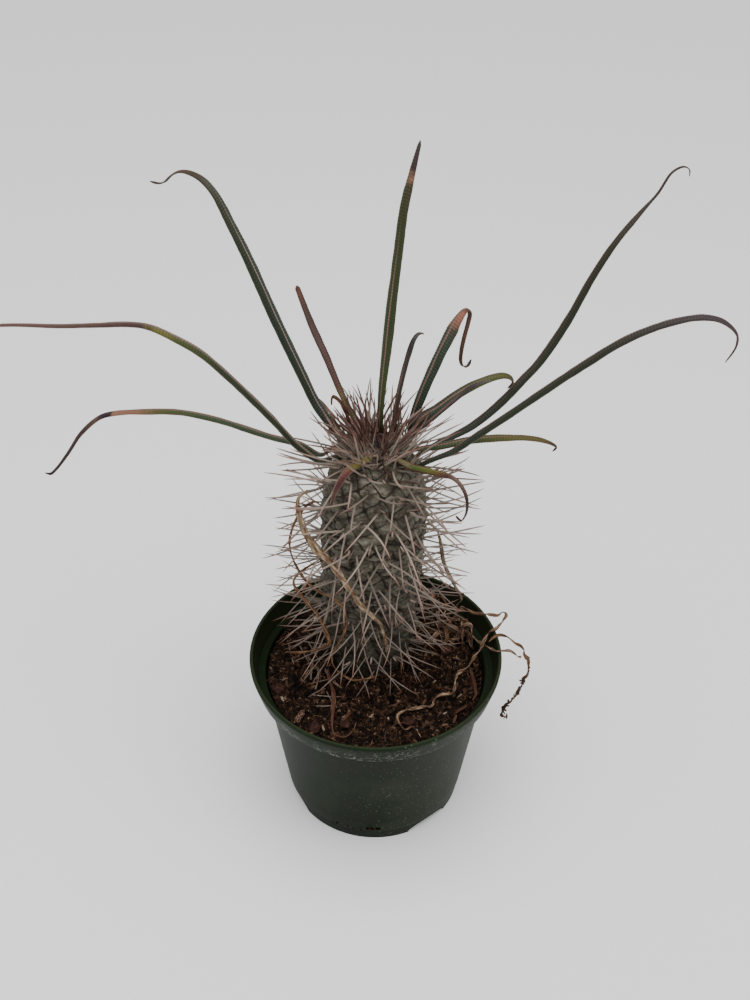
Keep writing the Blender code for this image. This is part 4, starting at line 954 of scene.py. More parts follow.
crack_bend = add_node(bark_tree, "ShaderNodeTexNoise",
                      {"Vector": place, "Scale": repeats(4), "Detail": 2.0})
crack_place = add_node(bark_tree, "ShaderNodeVectorMath",
                       {0: crack_bend.outputs["Color"], 1: (CRACK_BEND,) * 3, 2: lying},
                       operation="MULTIPLY_ADD")
crack_cells = add_node(bark_tree, "ShaderNodeTexVoronoi",
                       {"Vector": crack_place, "Scale": repeats(5.6)}, feature="DISTANCE_TO_EDGE")
thin_crack = add_node(bark_tree, "ShaderNodeMapRange",
                      {"Value": crack_cells, "From Min": 0.07, "From Max": 0.0, "To Max": 0.6})
bark_colour = add_node(bark_tree, "ShaderNodeMix", {0: thin_crack, 6: stained, 7: linear("#1d1712")},
                       data_type="RGBA")
fine_noise = add_node(bark_tree, "ShaderNodeTexNoise",
                      {"Vector": lying, "Scale": repeats(1.1), "Detail": 6.0, "Roughness": 0.7})
bark_relief = add_node(bark_tree, "ShaderNodeMath", {0: thin_crack, 1: -0.9, 2: fine_noise},
                       operation="MULTIPLY_ADD")
bark_bump = add_node(bark_tree, "ShaderNodeBump",
                     {"Height": bark_relief, "Strength": 0.9, "Distance": 0.5 * MM})
feed(bark_tree, bark_shader, {"Base Color": bark_colour, "Normal": bark_bump})
print("bark finish has", len(bark_tree.nodes), "shader nodes")

# %% Finish the spines
along_mark = add_node(wood_tree, "ShaderNodeAttribute", attribute_name="along").outputs["Fac"]
youth_mark = add_node(wood_tree, "ShaderNodeAttribute", attribute_name="youth").outputs["Fac"]
tint_mark = add_node(wood_tree, "ShaderNodeAttribute", attribute_name="tint").outputs["Fac"]
old_spine = add_node(wood_tree, "ShaderNodeValToRGB", {"Fac": along_mark},
                     stops=((0.0, "#4d4339"), (0.10, "#877b6e"), (0.60, "#8d7c71"), (0.84, "#83685c"),
                            (0.94, "#6f4434"), (1.0, "#3d1f17")))
young_spine = add_node(wood_tree, "ShaderNodeValToRGB", {"Fac": along_mark},
                       stops=((0.0, "#a0958a"), (0.44, "#978a7e"), (0.58, "#6a4136"), (0.72, "#3c1916"),
                              (0.90, "#431f1a"), (1.0, "#2e1410")))
spine_colour = add_node(wood_tree, "ShaderNodeMix", {0: youth_mark, 6: old_spine, 7: young_spine},
                        data_type="RGBA")
tint_light = add_node(wood_tree, "ShaderNodeMapRange", {"Value": tint_mark, "To Min": 0.54, "To Max": 1.28})
spine_shade = add_node(wood_tree, "ShaderNodeHueSaturation", {"Color": spine_colour, "Value": tint_light})
feed(wood_tree, wood_shader, {"Base Color": spine_shade})
print("spine finish has", len(wood_tree.nodes), "shader nodes")

# %% [markdown]
# ## A strip that follows a route
# Leaves, withered leaves and stalks are all strips with a closed section that is drawn along a
# route. The section is a list of (across, up, 1 on the underside), in half widths. The strip can
# twist, and its edges can waver a little, because nothing that grows is exactly straight. Each
# corner keeps how far along it is, as a share and in metres, how far across, and whether it is on
# the underside. Ripples follow the side veins, which leave the midrib at a slant every millimetre
# or so; here they are 1.8 mm apart to show.

# %% The strip helper
VEIN_SPACING = 1.8 * MM
VEIN_SLANT = 0.9 * MM


def strip(points, widths, side, section, turns=((0, 0), (1, 0)), waver=0.0, seed=0, thinnest=0.0,
          ripple=0.0):
    """Corners, faces and marks of a strip. widths are (share of length, width in mm) and turns are
    (share of length, angle). thinnest keeps the underside off the top where the strip is narrow."""
    far = lengths_along(points)
    shares = far / far[-1]
    table = np.array(widths, float)
    half = np.interp(shares, table[:, 0], table[:, 1]) * MM / 2
    angles = np.interp(shares, *np.array(turns, float).T)
    sides, ups = frames_along(points, np.array(side, float))
    corners, along, across, under, reach = [], [], [], [], []
    for number, point in enumerate(points):
        spot = Vector((far[number] / (9 * MM), seed * 7.3, 0.5))
        turn = angles[number] + waver * 1.6 * noise.noise(spot)
        one = sides[number] * math.cos(turn) + ups[number] * math.sin(turn)
        two = ups[number] * math.cos(turn) - sides[number] * math.sin(turn)
        for x, y, below in section:
            spot.z = 0.5 + 1.5 * x
            edge = 1.0 + waver * (0.35 * noise.noise(spot * 2.0) if abs(x) > 0.7 else 0.0)
            lift = waver * 0.5 * noise.noise(spot * 1.7) * abs(x)
            rise = y * max(half[number], thinnest) if below else y * half[number]
            wave = ripple * math.sin(2 * math.pi * (far[number] + VEIN_SLANT * abs(x)) / VEIN_SPACING)
            edge += 0.3 * wave * (abs(x) > 0.7)
            rise += wave * half[number] * min(1.0, 2.5 * abs(x)) * (1 - below)
            corners.append(point + one * x * edge * half[number] + two * (rise + lift * half[number]))
            across.append(x)
            under.append(below)
        along += [shares[number]] * len(section)
        reach += [far[number]] * len(section)
    marks = dict(along=along, across=across, under=under, reach=reach)
    return corners, tube_faces(len(points), len(section)), marks


def both_sides(upper, lower):
    """A closed section from the right half of its upper line and of its lower line."""
    top = [(-x, y, 0.0) for x, y in upper[:0:-1]] + [(x, y, 0.0) for x, y in upper]
    return top + [(x, y, 1.0) for x, y in lower[::-1]] + [(-x, y, 1.0) for x, y in lower[1:]]


LEAF_SECTION = both_sides(
    ((0.0, 0.32), (0.09, 0.34), (0.16, 0.41), (0.34, 0.40), (0.60, 0.31), (0.84, 0.14), (0.97, -0.06),
     (1.0, -0.24)),
    ((0.0, -0.16), (0.11, -0.10), (0.18, 0.04), (0.36, 0.16), (0.60, 0.06), (0.80, -0.12), (0.80, -0.32),
     (0.92, -0.38)))
DRY_SECTION = both_sides(
    ((0.0, 0.10), (0.28, 0.20), (0.62, 0.16), (0.90, -0.12), (1.0, -0.42)),
    ((0.0, -0.10), (0.30, 0.0), (0.60, -0.05), (0.84, -0.34), (0.96, -0.50)))
print("leaf section has", len(LEAF_SECTION), "corners, a withered one", len(DRY_SECTION))

# %% [markdown]
# ## Where the leaves go
# Each leaf springs from the crown, heads along one compass bearing and passes the points of its
# route, which are (reach, rise) in millimetres from its root. The CAD model seats each leaf on the
# crown and may move it a little to keep it clear. Its solid tells how far: the last row of its six
# corners is where the leaf ends, and the row nearest the heart of the crown is where it starts. The
# two front leaves start a few millimetres lower than their solids, by sink. widths and turns are as
# in a strip, and lean turns the blade about its line, in degrees, so that its far edge is higher.

# %% The leaves' routes
LEAVES = (
    dict(name="leaf_far_left", root=(-19.8, 15.7, 262), heading=174, lean=-20, look="green_rust_tip",
         widths=((0, 2.6), (0.12, 5.0), (0.45, 5.4), (0.62, 3.8), (1, 2.0)),
         route=((14, 0), (26, 8), (42, 28), (63, 52), (80, 69), (91, 76), (108, 84), (119, 85),
                (139, 83), (159, 81), (194, 79), (222, 73))),
    dict(name="leaf_low_left", root=(-19.6, 23.2, 262), heading=165, lean=-12, look="green_rose_tip",
         turns=((0, 0), (0.6, 0), (0.76, -1.0), (1, -1.0)),
         widths=((0, 2.6), (0.15, 4.8), (0.55, 5.0), (0.70, 3.4), (1, 1.8)),
         route=((15, -3), (27, 2), (46, 4), (80, 10), (104, 11), (128, 7), (148, 2), (159, -3),
                (175, -19), (187, -37), (198, -52), (203, -57), (207, -57))),
    dict(name="leaf_high_left", root=(-15.1, 30.0, 263), heading=140, lean=-10, look="blue_green_white_rib",
         widths=((0, 3.2), (0.12, 7.0), (0.45, 7.6), (0.66, 6.2), (0.80, 4.4), (0.90, 3.0), (1, 1.8)),
         route=((11, 4), (19, 10), (29, 19), (40, 35), (60, 65), (79, 96), (91, 113), (104, 130),
                (114, 136), (126, 137), (134, 135), (142, 130), (149, 124), (154, 122), (162, 121))),
    dict(name="leaf_back_left", root=(-7.5, 35.4, 264), heading=125, look="red_brown",
         widths=((0, 2.6), (0.20, 4.2), (0.70, 5.2), (1, 3.4)),
         route=((7, 6), (16, 12), (26, 20), (42, 37), (58, 52), (70, 66), (74, 71))),
    dict(name="leaf_upright", root=(3.3, 27.0, 268), heading=65, look="olive_pink_rib",
         widths=((0, 3.0), (0.22, 4.6), (0.42, 6.6), (0.60, 5.8), (0.85, 5.0), (1, 2.0)),
         route=((-3, 10), (-5, 22), (-3, 40), (2, 62), (8, 89), (16, 119), (22, 140), (32, 157),
                (42, 171))),
    dict(name="leaf_small_back", root=(9.8, 28.3, 268), heading=48, look="brown_dark_edge",
         widths=((0, 2.4), (0.25, 3.6), (0.80, 3.8), (1, 1.8)),
         route=((0, 9), (1, 25), (6, 44), (11, 57), (15, 64), (19, 66), (24, 64))),
    dict(name="leaf_folded", root=(16.9, 34.3, 264), heading=47, look="blue_green_orange_fold",
         widths=((0, 2.6), (0.20, 6.8), (0.53, 8.2), (0.59, 5.6), (0.64, 3.4), (0.82, 3.0), (1, 2.0)),
         route=((3, 10), (8, 20), (16, 33), (26, 47), (36, 59), (43, 66), (50, 69), (54, 65),
                (53, 59), (50, 50), (48, 41), (48, 34), (51, 29), (55, 28), (58, 31))),
    dict(name="leaf_arched_right", root=(18.3, 31.5, 265), heading=18, lean=28, look="blue_green_lime_tip",
         widths=((0, 2.6), (0.22, 6.8), (0.60, 6.0), (0.85, 4.2), (1, 2.2)),
         route=((3, 8), (7, 16), (18, 22), (29, 29), (40, 34), (52, 37), (59, 37), (64, 34),
                (65, 30), (62, 27))),
    dict(name="leaf_narrow_right", root=(12.8, 24.2, 267), heading=10, look="brown_dark_edge",
         widths=((0, 2.4), (0.25, 3.2), (0.80, 3.0), (1, 1.6)),
         route=((2, 7), (6, 9), (14, 14), (24, 23), (34, 32), (41, 38), (48, 41), (53, 42))),
    dict(name="leaf_high_right", root=(26.8, 26.4, 262), heading=28, lean=20, look="dark_green_red_edge",
         widths=((0, 2.6), (0.15, 5.2), (0.45, 5.8), (0.78, 3.8), (0.85, 1.8), (1, 1.4)),
         route=((11, 3.5), (20, 5), (34, 8.5), (46, 14.5), (59, 23.5), (67, 30.5), (79, 41), (96, 64),
                (110, 89), (124, 109), (139, 124), (150, 134), (158, 145), (166, 147), (171, 144),
                (172, 140))),
    dict(name="leaf_long_right", root=(27.3, 13.2, 263.5), heading=3, lean=20, look="dark_green_rust_tip",
         widths=((0, 2.6), (0.15, 5.0), (0.55, 5.6), (0.82, 4.4), (0.93, 3.0), (1, 1.4)),
         route=((5, 3), (17, 9), (28, 18), (38, 26), (49, 35), (65, 48.5), (87, 66.5), (108, 82),
                (130, 92), (149, 95.5), (161, 92.5), (170, 84), (171, 76), (167, 66))),
    dict(name="leaf_low_right", root=(16.6, 15.9, 268), heading=8, lean=25, look="lime_pink_edge",
         widths=((0, 2.6), (0.22, 5.0), (0.55, 5.4), (0.85, 3.8), (1, 1.8)),
         route=((6, 3.5), (20, 4.5), (35, 7), (50, 7.5), (61, 7), (71, 6), (81, 3.5), (88, 0), (91, -3),
                (89, -6))),
    dict(name="leaf_front_right", root=(8.5, 11.2, 270), heading=-45, look="olive_brown_thread",
         sink=4, widths=((0, 3.2), (0.20, 5.2), (0.46, 5.2), (0.60, 3.0), (0.80, 2.2), (1, 1.5)),
         route=((7, 0.5), (16, 1.5), (31, 6), (47, 10.5), (53, 9), (58, 3), (59, -7), (55, -16),
                (51, -15))),
    dict(name="leaf_front_left", root=(-1.1, 12.9, 270), heading=228, look="rose_dark_tip",
         sink=6, widths=((0, 3.6), (0.30, 5.4), (0.55, 5.4), (0.75, 4.0), (1, 1.4)),
         route=((6, 0.5), (12, 1), (20, 2), (27, 0), (31, -3), (35, -8), (38, -16))),
)
CROWN_HEART = np.array((*stem_axis(240 * MM), 240 * MM))
LEAF_STEP = 0.55 * MM
ROW_CORNERS = 6


def solid_corners(node):
    """The corners of a CAD solid, each one once."""
    return np.unique(np.round([vertex.co[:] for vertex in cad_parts[node].data.vertices], 6), axis=0)


def row_nearest(corners, spot):
    """The middle of the six corners nearest a spot, which are one row of a CAD blade."""
    order = np.argsort(np.linalg.norm(corners - spot, axis=1))
    return corners[order[:ROW_CORNERS]].mean(axis=0)


def leaf_line(leaf):
    """The middle line of a leaf, from its seat on the crown to its tip."""
    heading = math.radians(leaf["heading"])
    ahead = np.array((math.cos(heading), math.sin(heading), 0.0))
    root = np.array(leaf["root"]) * MM
    route = [root + (ahead * reach + UP * rise) * MM for reach, rise in leaf["route"]]
    corners = solid_corners(leaf["name"])
    seat = row_nearest(corners, CROWN_HEART) - UP * leaf.get("sink", 0.0) * MM
    moved = row_nearest(corners, route[-1]) - route[-1]
    way = (root - CROWN_HEART) / np.linalg.norm(root - CROWN_HEART)
    inner_end = [seat - way * 1.5 * MM, seat + way * 3 * MM]
    return spaced(smooth_route(inner_end + [spot + moved for spot in route]), LEAF_STEP)


leaf_lines = {leaf["name"]: leaf_line(leaf) for leaf in LEAVES}
print("leaf lengths in mm:",
      {name: round(lengths_along(line)[-1] / MM) for name, line in leaf_lines.items()})

# %% [markdown]
# ## Leaf finishes
# A leaf is a waxy blade: the cuticle has an IOR of about 1.45 and a satin gloss, and the side veins
# that cross it give it a seersucker look. This plant is stressed, so each leaf has its own colours:
# blue-green or olive at the base, rose or rust towards the tip, with a pink or white midrib and
# often a red edge. On the far half of the blade the edge colour reaches in from the far edge, on
# most leaves over much of that half: partly the red edge and partly painted light on the lit half.
# One function makes them all from a few colour stops along the leaf, and the marks on the corners
# say where the midrib, the edges and the underside are. far_from is where the far edge's colour and
# painted light begin across the leaf, near_share is how strong the edge colour is on the near edge,
# edge_end is how far along the leaf it goes, and light scales it all.
# A wave texture draws 20 radians of wave in each metre at scale 1, so one vein in every spacing
# takes a scale of pi / 10 over that spacing.

# %% The colours of each leaf
LEAF_LOOKS = {
    "green_rust_tip": dict(
        top=((0.0, "#2a3324"), (0.38, "#303b22"), (0.48, "#4a5424"), (0.535, "#726e2c"), (0.575, "#47292a"),
             (0.63, "#573b35"), (0.76, "#634740"), (0.90, "#755046"), (1.0, "#5a362e")),
        under=((0.0, "#2c3324"), (0.55, "#4f5430"), (0.7, "#5a4a40"), (1.0, "#5d4038")),
        rib="#574b42", rib_width=0.07, edge="#957b6e", edge_share=0.8, far_from=0.0),
    "green_rose_tip": dict(
        top=((0.0, "#2b3a2b"), (0.40, "#3a4c28"), (0.51, "#5c5c2f"), (0.58, "#9a6d54"), (0.648, "#ab7861"),
             (0.658, "#2a1c22"), (0.684, "#2e2226"), (0.70, "#6d4f40"), (0.76, "#4a2c22"), (1.0, "#2f201d")),
        under=((0.0, "#33452c"), (0.50, "#5f6a35"), (0.58, "#9a6d54"), (0.648, "#a5725b"), (0.658, "#2a1c22"),
               (0.684, "#2e2226"), (0.70, "#5b4034"), (1.0, "#2f1f1c")),
        rib="#8c7468", rib_width=0.10, edge="#93705f", edge_share=0.8, far_from=0.05, edge_end=0.56),
    "blue_green_white_rib": dict(
        top=((0.0, "#2a3226"), (0.35, "#2a3524"), (0.62, "#343a26"), (0.78, "#474031"), (0.87, "#6a4a3a"),
             (1.0, "#3f302a")),
        under=((0.0, "#2b352c"), (0.75, "#434336"), (1.0, "#4a3830")),
        rib="#a58f8a", rib_width=0.10, edge="#55604f", edge_share=0.6, far_from=0.2),
    "red_brown": dict(
        top=((0.0, "#4d5a2c"), (0.18, "#68692c"), (0.30, "#6a5433"), (0.38, "#60403a"), (0.60, "#5c423c"),
             (0.85, "#553c35"), (0.95, "#6d4638"), (1.0, "#5b2f2c")),
        under=((0.0, "#5b5a32"), (0.3, "#5f423b"), (1.0, "#5b3c34")),
        rib="#6f5048", rib_width=0.10, edge="#472f2c", edge_share=0.8),
    "olive_pink_rib": dict(
        top=((0.0, "#4a4638"), (0.14, "#424c27"), (0.45, "#384420"), (0.70, "#3d4424"), (0.86, "#443f29"),
             (0.895, "#8f6852"), (0.915, "#3d2d2b"), (1.0, "#473735")),
        under=((0.0, "#47502c"), (0.8, "#4f4630"), (1.0, "#4a3836")),
        rib="#9a7470", rib_width=0.12, edge="#4b5430", edge_share=0.4),
    "brown_dark_edge": dict(
        top=((0.0, "#4f4139"), (0.5, "#4c413c"), (0.85, "#433a38"), (1.0, "#6a625c")),
        under=((0.0, "#4f4238"), (1.0, "#3f3633")),
        rib="#8d6f62", rib_width=0.30, edge="#241d1e", edge_share=0.9),
    "blue_green_orange_fold": dict(
        top=((0.0, "#30352b"), (0.10, "#2f3b2c"), (0.46, "#374233"), (0.53, "#4b4a38"), (0.555, "#8e5f49"),
             (0.595, "#a86a4e"), (0.63, "#6d4a3c"), (0.85, "#8a6a58"), (1.0, "#2c2c29")),
        under=((0.0, "#36423a"), (0.60, "#8f6452"), (0.82, "#8a6453"), (1.0, "#35302c")),
        rib="#927268", rib_width=0.17, edge="#4f5a48", edge_share=0.4),
    "blue_green_lime_tip": dict(
        top=((0.0, "#35403a"), (0.20, "#36443b"), (0.50, "#3a472f"), (0.68, "#565f2b"), (0.86, "#5f5d30"),
             (0.94, "#54392e"), (1.0, "#3a2f29")),
        under=((0.0, "#35402c"), (0.6, "#49542b"), (1.0, "#4c3f2c")),
        rib="#9a7468", rib_width=0.14, edge="#5d4538", edge_share=0.6),
    "dark_green_red_edge": dict(
        top=((0.0, "#2c382a"), (0.30, "#2b3424"), (0.65, "#333524"), (0.80, "#463d30"), (0.90, "#503f3a"),
             (1.0, "#3c302d")),
        under=((0.0, "#2b3524"), (0.7, "#2f3022"), (1.0, "#3f322e")),
        rib="#5d4a40", rib_width=0.08, edge="#634740", edge_share=0.75),
    "dark_green_rust_tip": dict(
        top=((0.0, "#2f3b2b"), (0.30, "#2b3522"), (0.55, "#2e3123"), (0.70, "#3b3530"), (0.84, "#4c4042"),
             (0.93, "#54393a"), (1.0, "#3f2b2b")),
        under=((0.0, "#2a3323"), (0.6, "#2a2c1f"), (0.8, "#302822"), (1.0, "#48302c")),
        rib="#5b4a42", rib_width=0.08, edge="#786058", edge_share=0.8, far_from=0.2),
    "lime_pink_edge": dict(
        top=((0.0, "#5a3c38"), (0.12, "#38492c"), (0.45, "#45552c"), (0.65, "#63632c"), (0.85, "#6a5a30"),
             (0.92, "#4c3a26"), (1.0, "#2d2a24")),
        under=((0.0, "#3a4a28"), (0.6, "#55602a"), (1.0, "#3b3324")),
        rib="#9a6a5e", rib_width=0.14, edge="#7a5046", edge_share=0.6, near_share=0.7, far_from=0.5),
    "olive_brown_thread": dict(
        top=((0.0, "#8d8068"), (0.18, "#7a7556"), (0.26, "#4c5e2c"), (0.38, "#5d652e"), (0.46, "#64502f"),
             (0.54, "#4b2a2b"), (0.62, "#6a5048"), (0.75, "#33201f"), (1.0, "#3f3531")),
        under=((0.0, "#66553f"), (0.4, "#7a5446"), (0.6, "#4c2f2c"), (1.0, "#2a1c1c")),
        rib="#9a8a50", rib_width=0.10, edge="#5f322c", edge_share=0.9, near_share=0.9, far_from=0.15,
        light=1.1),
    "rose_dark_tip": dict(
        top=((0.0, "#a3947c"), (0.14, "#858052"), (0.34, "#7c7c38"), (0.50, "#7d6c34"), (0.57, "#753b38"),
             (0.66, "#54242a"), (0.74, "#4a2428"), (0.84, "#5f3f34"), (1.0, "#4a2a26")),
        under=((0.0, "#64633a"), (0.3, "#74503f"), (0.6, "#5a302e"), (1.0, "#3f2322")),
        rib="#8d7450", rib_width=0.10, edge="#927668", edge_share=0.7, near_share=0.75, light=1.15),
}


def leaf_finish(name, look):
    """A waxy leaf blade with its own colours along it."""
    material, tree, shader = new_finish("leaf_" + name, 0.45, IOR=1.45, Specular_IOR_Level=0.25)
    marks = {mark: add_node(tree, "ShaderNodeAttribute", attribute_name=mark).outputs["Fac"]
             for mark in ("along", "across", "under", "reach")}
    place = add_node(tree, "ShaderNodeTexCoord").outputs["Object"]
    mottle = add_node(tree, "ShaderNodeTexNoise", {"Vector": place, "Scale": repeats(5), "Detail": 5.0})
    drift = add_node(tree, "ShaderNodeMath", {0: mottle, 1: 0.06, 2: marks["along"]},
                     operation="MULTIPLY_ADD")
    spot = add_node(tree, "ShaderNodeMath", {0: drift, 1: 0.03}, operation="SUBTRACT")
    top = add_node(tree, "ShaderNodeValToRGB", {"Fac": spot}, stops=look["top"])
    under = add_node(tree, "ShaderNodeValToRGB", {"Fac": spot}, stops=look["under"])
    body = add_node(tree, "ShaderNodeMix", {0: marks["under"], 6: top, 7: under}, data_type="RGBA")
    off_rib = add_node(tree, "ShaderNodeMath", {0: marks["across"]}, operation="ABSOLUTE")
    width = look["rib_width"]
    rib = add_node(tree, "ShaderNodeMapRange",
                   {"Value": off_rib, "From Min": width + 0.06, "From Max": width - 0.04, "To Max": 1.0})
    fading = add_node(tree, "ShaderNodeMapRange",
                      {"Value": marks["along"], "From Min": 0.80, "From Max": 0.55, "To Max": 0.85})
    rib_share = add_node(tree, "ShaderNodeMath", {0: rib, 1: fading}, operation="MULTIPLY")
    ribbed = add_node(tree, "ShaderNodeMix", {0: rib_share, 6: body, 7: linear(look["rib"])},
                      data_type="RGBA")
    far_from = look.get("far_from", 0.25)
    # The far edge's colour: partly the red edge, partly painted light on the lit far half.
    far_edge_and_painted_light = add_node(tree, "ShaderNodeMapRange",
                        {"Value": marks["across"], "From Min": far_from, "From Max": far_from + 0.18,
                         "To Max": look["edge_share"]})
    near_edge = add_node(tree, "ShaderNodeMapRange",
                         {"Value": marks["across"], "From Min": -0.86, "From Max": -1.0,
                          "To Max": look.get("near_share", 0.5 * look["edge_share"])})
    edge = add_node(tree, "ShaderNodeMath", {0: far_edge_and_painted_light, 1: near_edge}, operation="MAXIMUM")
    edge_end = look.get("edge_end", 1.1)
    edge_fades = add_node(tree, "ShaderNodeMapRange", {"Value": marks["along"], "From Min": edge_end + 0.04,
                                                       "From Max": edge_end - 0.04})
    edge_share = add_node(tree, "ShaderNodeMath", {0: edge, 1: edge_fades}, operation="MULTIPLY")
    edged = add_node(tree, "ShaderNodeMix", {0: edge_share, 6: ribbed, 7: linear(look["edge"])},
                     data_type="RGBA")
    slant = add_node(tree, "ShaderNodeMath", {0: off_rib, 1: VEIN_SLANT, 2: marks["reach"]},
                     operation="MULTIPLY_ADD")
    run = add_node(tree, "ShaderNodeCombineXYZ", {"X": slant})
    veins = add_node(tree, "ShaderNodeTexWave",
                     {"Vector": run, "Scale": math.pi / 10 / VEIN_SPACING, "Distortion": 0.6,
                      "Detail": 1.0}, bands_direction="X").outputs["Fac"]
    light = look.get("light", 1.0)
    vein_light = add_node(tree, "ShaderNodeMapRange",
                          {"Value": veins, "To Min": 0.46 * light, "To Max": 0.68 * light})
    shaded = add_node(tree, "ShaderNodeHueSaturation", {"Color": edged, "Value": vein_light})
    relief = add_node(tree, "ShaderNodeMath", {0: mottle, 1: 0.8, 2: veins}, operation="MULTIPLY_ADD")
    bump = add_node(tree, "ShaderNodeBump", {"Height": relief, "Strength": 0.7, "Distance": 0.14 * MM})
    feed(tree, shader, {"Base Color": shaded, "Normal": bump})
    return material


leaf_materials = {name: leaf_finish(name, look) for name, look in LEAF_LOOKS.items()}
print("leaf finishes:", len(leaf_materials))

# %% Build the leaves
POINT_START = 0.985


def tapered(widths, end=0.25):
    """The widths of a leaf whose last stretch narrows to a point."""
    before = np.interp(POINT_START, [share for share, _ in widths], [width for _, width in widths])
    return (*widths[:-1], (POINT_START, float(before)), (1, widths[-1][1] * end))


for number, leaf in enumerate(LEAVES):
    heading, lean = math.radians(leaf["heading"]), math.radians(leaf.get("lean", 0.0))
    side = (-math.sin(heading), math.cos(heading), math.tan(lean))
    corners, faces, marks = strip(leaf_lines[leaf["name"]], tapered(leaf["widths"]), side, LEAF_SECTION,
                                  turns=leaf.get("turns", ((0, 0), (1, 0))), waver=0.10, seed=number,
                                  thinnest=0.9 * MM, ripple=0.035)
    far_side = 1 if math.cos(heading) > 0 else -1
    marks["across"] = [far_side * across for across in marks["across"]]
    add_piece(leaf["name"].replace("leaf_", "leaf_blade_"), corners, faces, leaf_materials[leaf["look"]],
              stands_for=leaf["name"], **marks)
print("leaves built:", len(LEAVES))

# %% [markdown]
# ## Withered leaves
# Dead leaves stay caught in the spines, hang down the stem or lie on the soil. Dry leaf tissue has
# lost its wax: it is matt, papery, tan to dark brown with streaks along it and burnt patches, and it
# curls and twists because one side dries first. They use the same strip with a thin curled section,
# more waver and their own finishes. Those that lie on something are lowered until they touch the
# height of their solid.

# %% The withered leaves' routes
DRY_BLADES = (
    dict(name="dry_leaf_long", look="straw",
         widths=((0, 1.2), (0.14, 4.0), (0.30, 5.2), (0.48, 3.8), (0.62, 2.8), (0.80, 2.1), (1, 1.3)),
         route=((-41, 4, 250), (-46, 0, 248), (-47, -2, 245), (-44, -8, 231), (-37, -14, 221),
                (-26, -20, 211), (-17, -24, 198), (-8, -26, 183), (1, -27, 173), (5, -25, 159),
                (7, -21, 141), (8.5, -13.9, 133))),
    dict(name="dry_leaf_looped", look="umber", widths=((0, 1.4), (0.3, 2.0), (0.7, 1.8), (1, 1.4)),
         route=((-33.4, 9.5, 237), (-40, 7, 238), (-48, 2, 230), (-53, 0, 214), (-51, -4, 202),
                (-43, -10, 190), (-34, -16, 186), (-26, -20, 185), (-20, -24, 180), (-18, -25, 169),
                (-20, -24, 159), (-25, -23, 146), (-28, -23, 139), (-27, -25, 132), (-22, -28, 127),
                (-14, -31, 125), (-5, -31, 126), (3, -29, 128))),
    dict(name="dry_leaf_side", look="umber", widths=((0, 1.0), (0.5, 2.8), (1, 1.6)),
         route=((-33.2, 2.5, 196), (-43, -3, 195), (-51, -8, 188), (-43, -14, 176), (-36, -19, 170),
                (-31, -22.5, 158), (-29, -22.5, 149), (-36, -19, 140), (-46, -16, 134), (-58, -13, 131))),
    dict(name="dry_leaf_on_soil", look="rust", lies=True,
         widths=((0, 1.4), (0.25, 3.2), (0.45, 2.8), (0.60, 1.3), (1, 0.8)),
         route=((-31, -12, 117), (-30, -17, 112), (-27, -25, 109), (-27, -38, 107), (-27, -52, 106.5),
                (-25, -58, 106.5), (-19, -60, 106.5), (-14, -55, 106.5), (-12, -48, 106.5))),
    dict(name="dry_leaf_right_wall", look="red_umber", lies=True, widths=((0, 1.6), (0.4, 2.8), (1, 1.2)),
         route=((63, 2, 104), (64, -7, 103.5), (65, -15, 103.5), (65, -22, 103.5), (63, -27, 103.5))),
    dict(name="dry_leaf_crumpled", look="grey_straw", lies=True,
         widths=((0, 3.0), (0.4, 8.0), (0.7, 5.0), (1, 2.0)),
         route=((44, 31, 107.5), (48, 33, 109), (52, 32, 110.5), (56, 31, 109), (61, 30, 107))),
    dict(name="dry_leaf_hanging", look="grey_straw", widths=((0, 1.4), (0.4, 2.8), (1, 1.6)),
         route=((31.2, 17, 215), (37, 18.5, 209), (39.5, 19.5, 200), (43, 21.5, 179), (46, 23.5, 169),
                (52, 27.5, 152), (56, 29.5, 142), (57, 30.5, 137), (55, 32.5, 132), (54, 34.5, 127))),
    dict(name="withered_thread", look="dark_thread", widths=((0, 1.2), (1, 1.0)),
         route=((10, 22, 273.2), (6, 13, 275.2), (4, 7, 275), (3, 1, 273), (5, -3, 270), (10, -7, 267),
                (16, -8, 266), (23, -8, 265))),
    dict(name="withered_hook_high", look="red_umber", widths=((0, 2.0), (0.5, 2.6), (1, 2.0)),
         route=((-13.6, 35.2, 267.4), (-15, 35.6, 271), (-17, 36, 277), (-20, 37.5, 286), (-24, 41, 290),
                (-27, 42, 291), (-28, 42, 288), (-28, 42, 285))),
    dict(name="withered_hook_low", look="red_umber", widths=((0, 1.6), (1, 1.2)),
         route=((-20.5, 25.8, 267.2), (-22, 26, 269), (-23.5, 26.3, 270.5), (-25, 28, 273), (-28, 29, 276),
                (-31, 29, 275))),
    dict(name="withered_blade", look="grey_straw", widths=((0, 1.6), (0.5, 2.0), (1, 1.2)),
         route=((-18.2, 38, 259.4), (-21, 40.8, 264), (-25, 43.5, 270), (-31, 49.5, 278), (-41, 55.5, 284),
                (-46, 57, 289))),
    dict(name="young_leaf", look="plum", widths=((0, 2.2), (0.5, 2.2), (1, 1.4)),
         route=((1, 17, 273), (0, 17, 278), (0.5, 17, 281), (2.5, 16.5, 281.5), (4.5, 15, 279),
                (5.5, 13.5, 276))),
)
DRY_LOOKS = {
    "straw": ("#452f1e", "#7c6850", "#af9c84"),
    "umber": ("#2b1b12", "#5f4530", "#8d7050"),
    "red_umber": ("#241410", "#452c22", "#6b4c3e"),
    "rust": ("#26150e", "#4d3125", "#745040"),
    "grey_straw": ("#3b3026", "#6b5a49", "#8f7e69"),
    "tan_runner": ("#2c1d14", "#69503e", "#ab927a"),
    "dark_thread": ("#1c1310", "#3b2b24", "#5f4c40"),
    "plum": ("#2a1a1c", "#584046", "#86707a"),
}


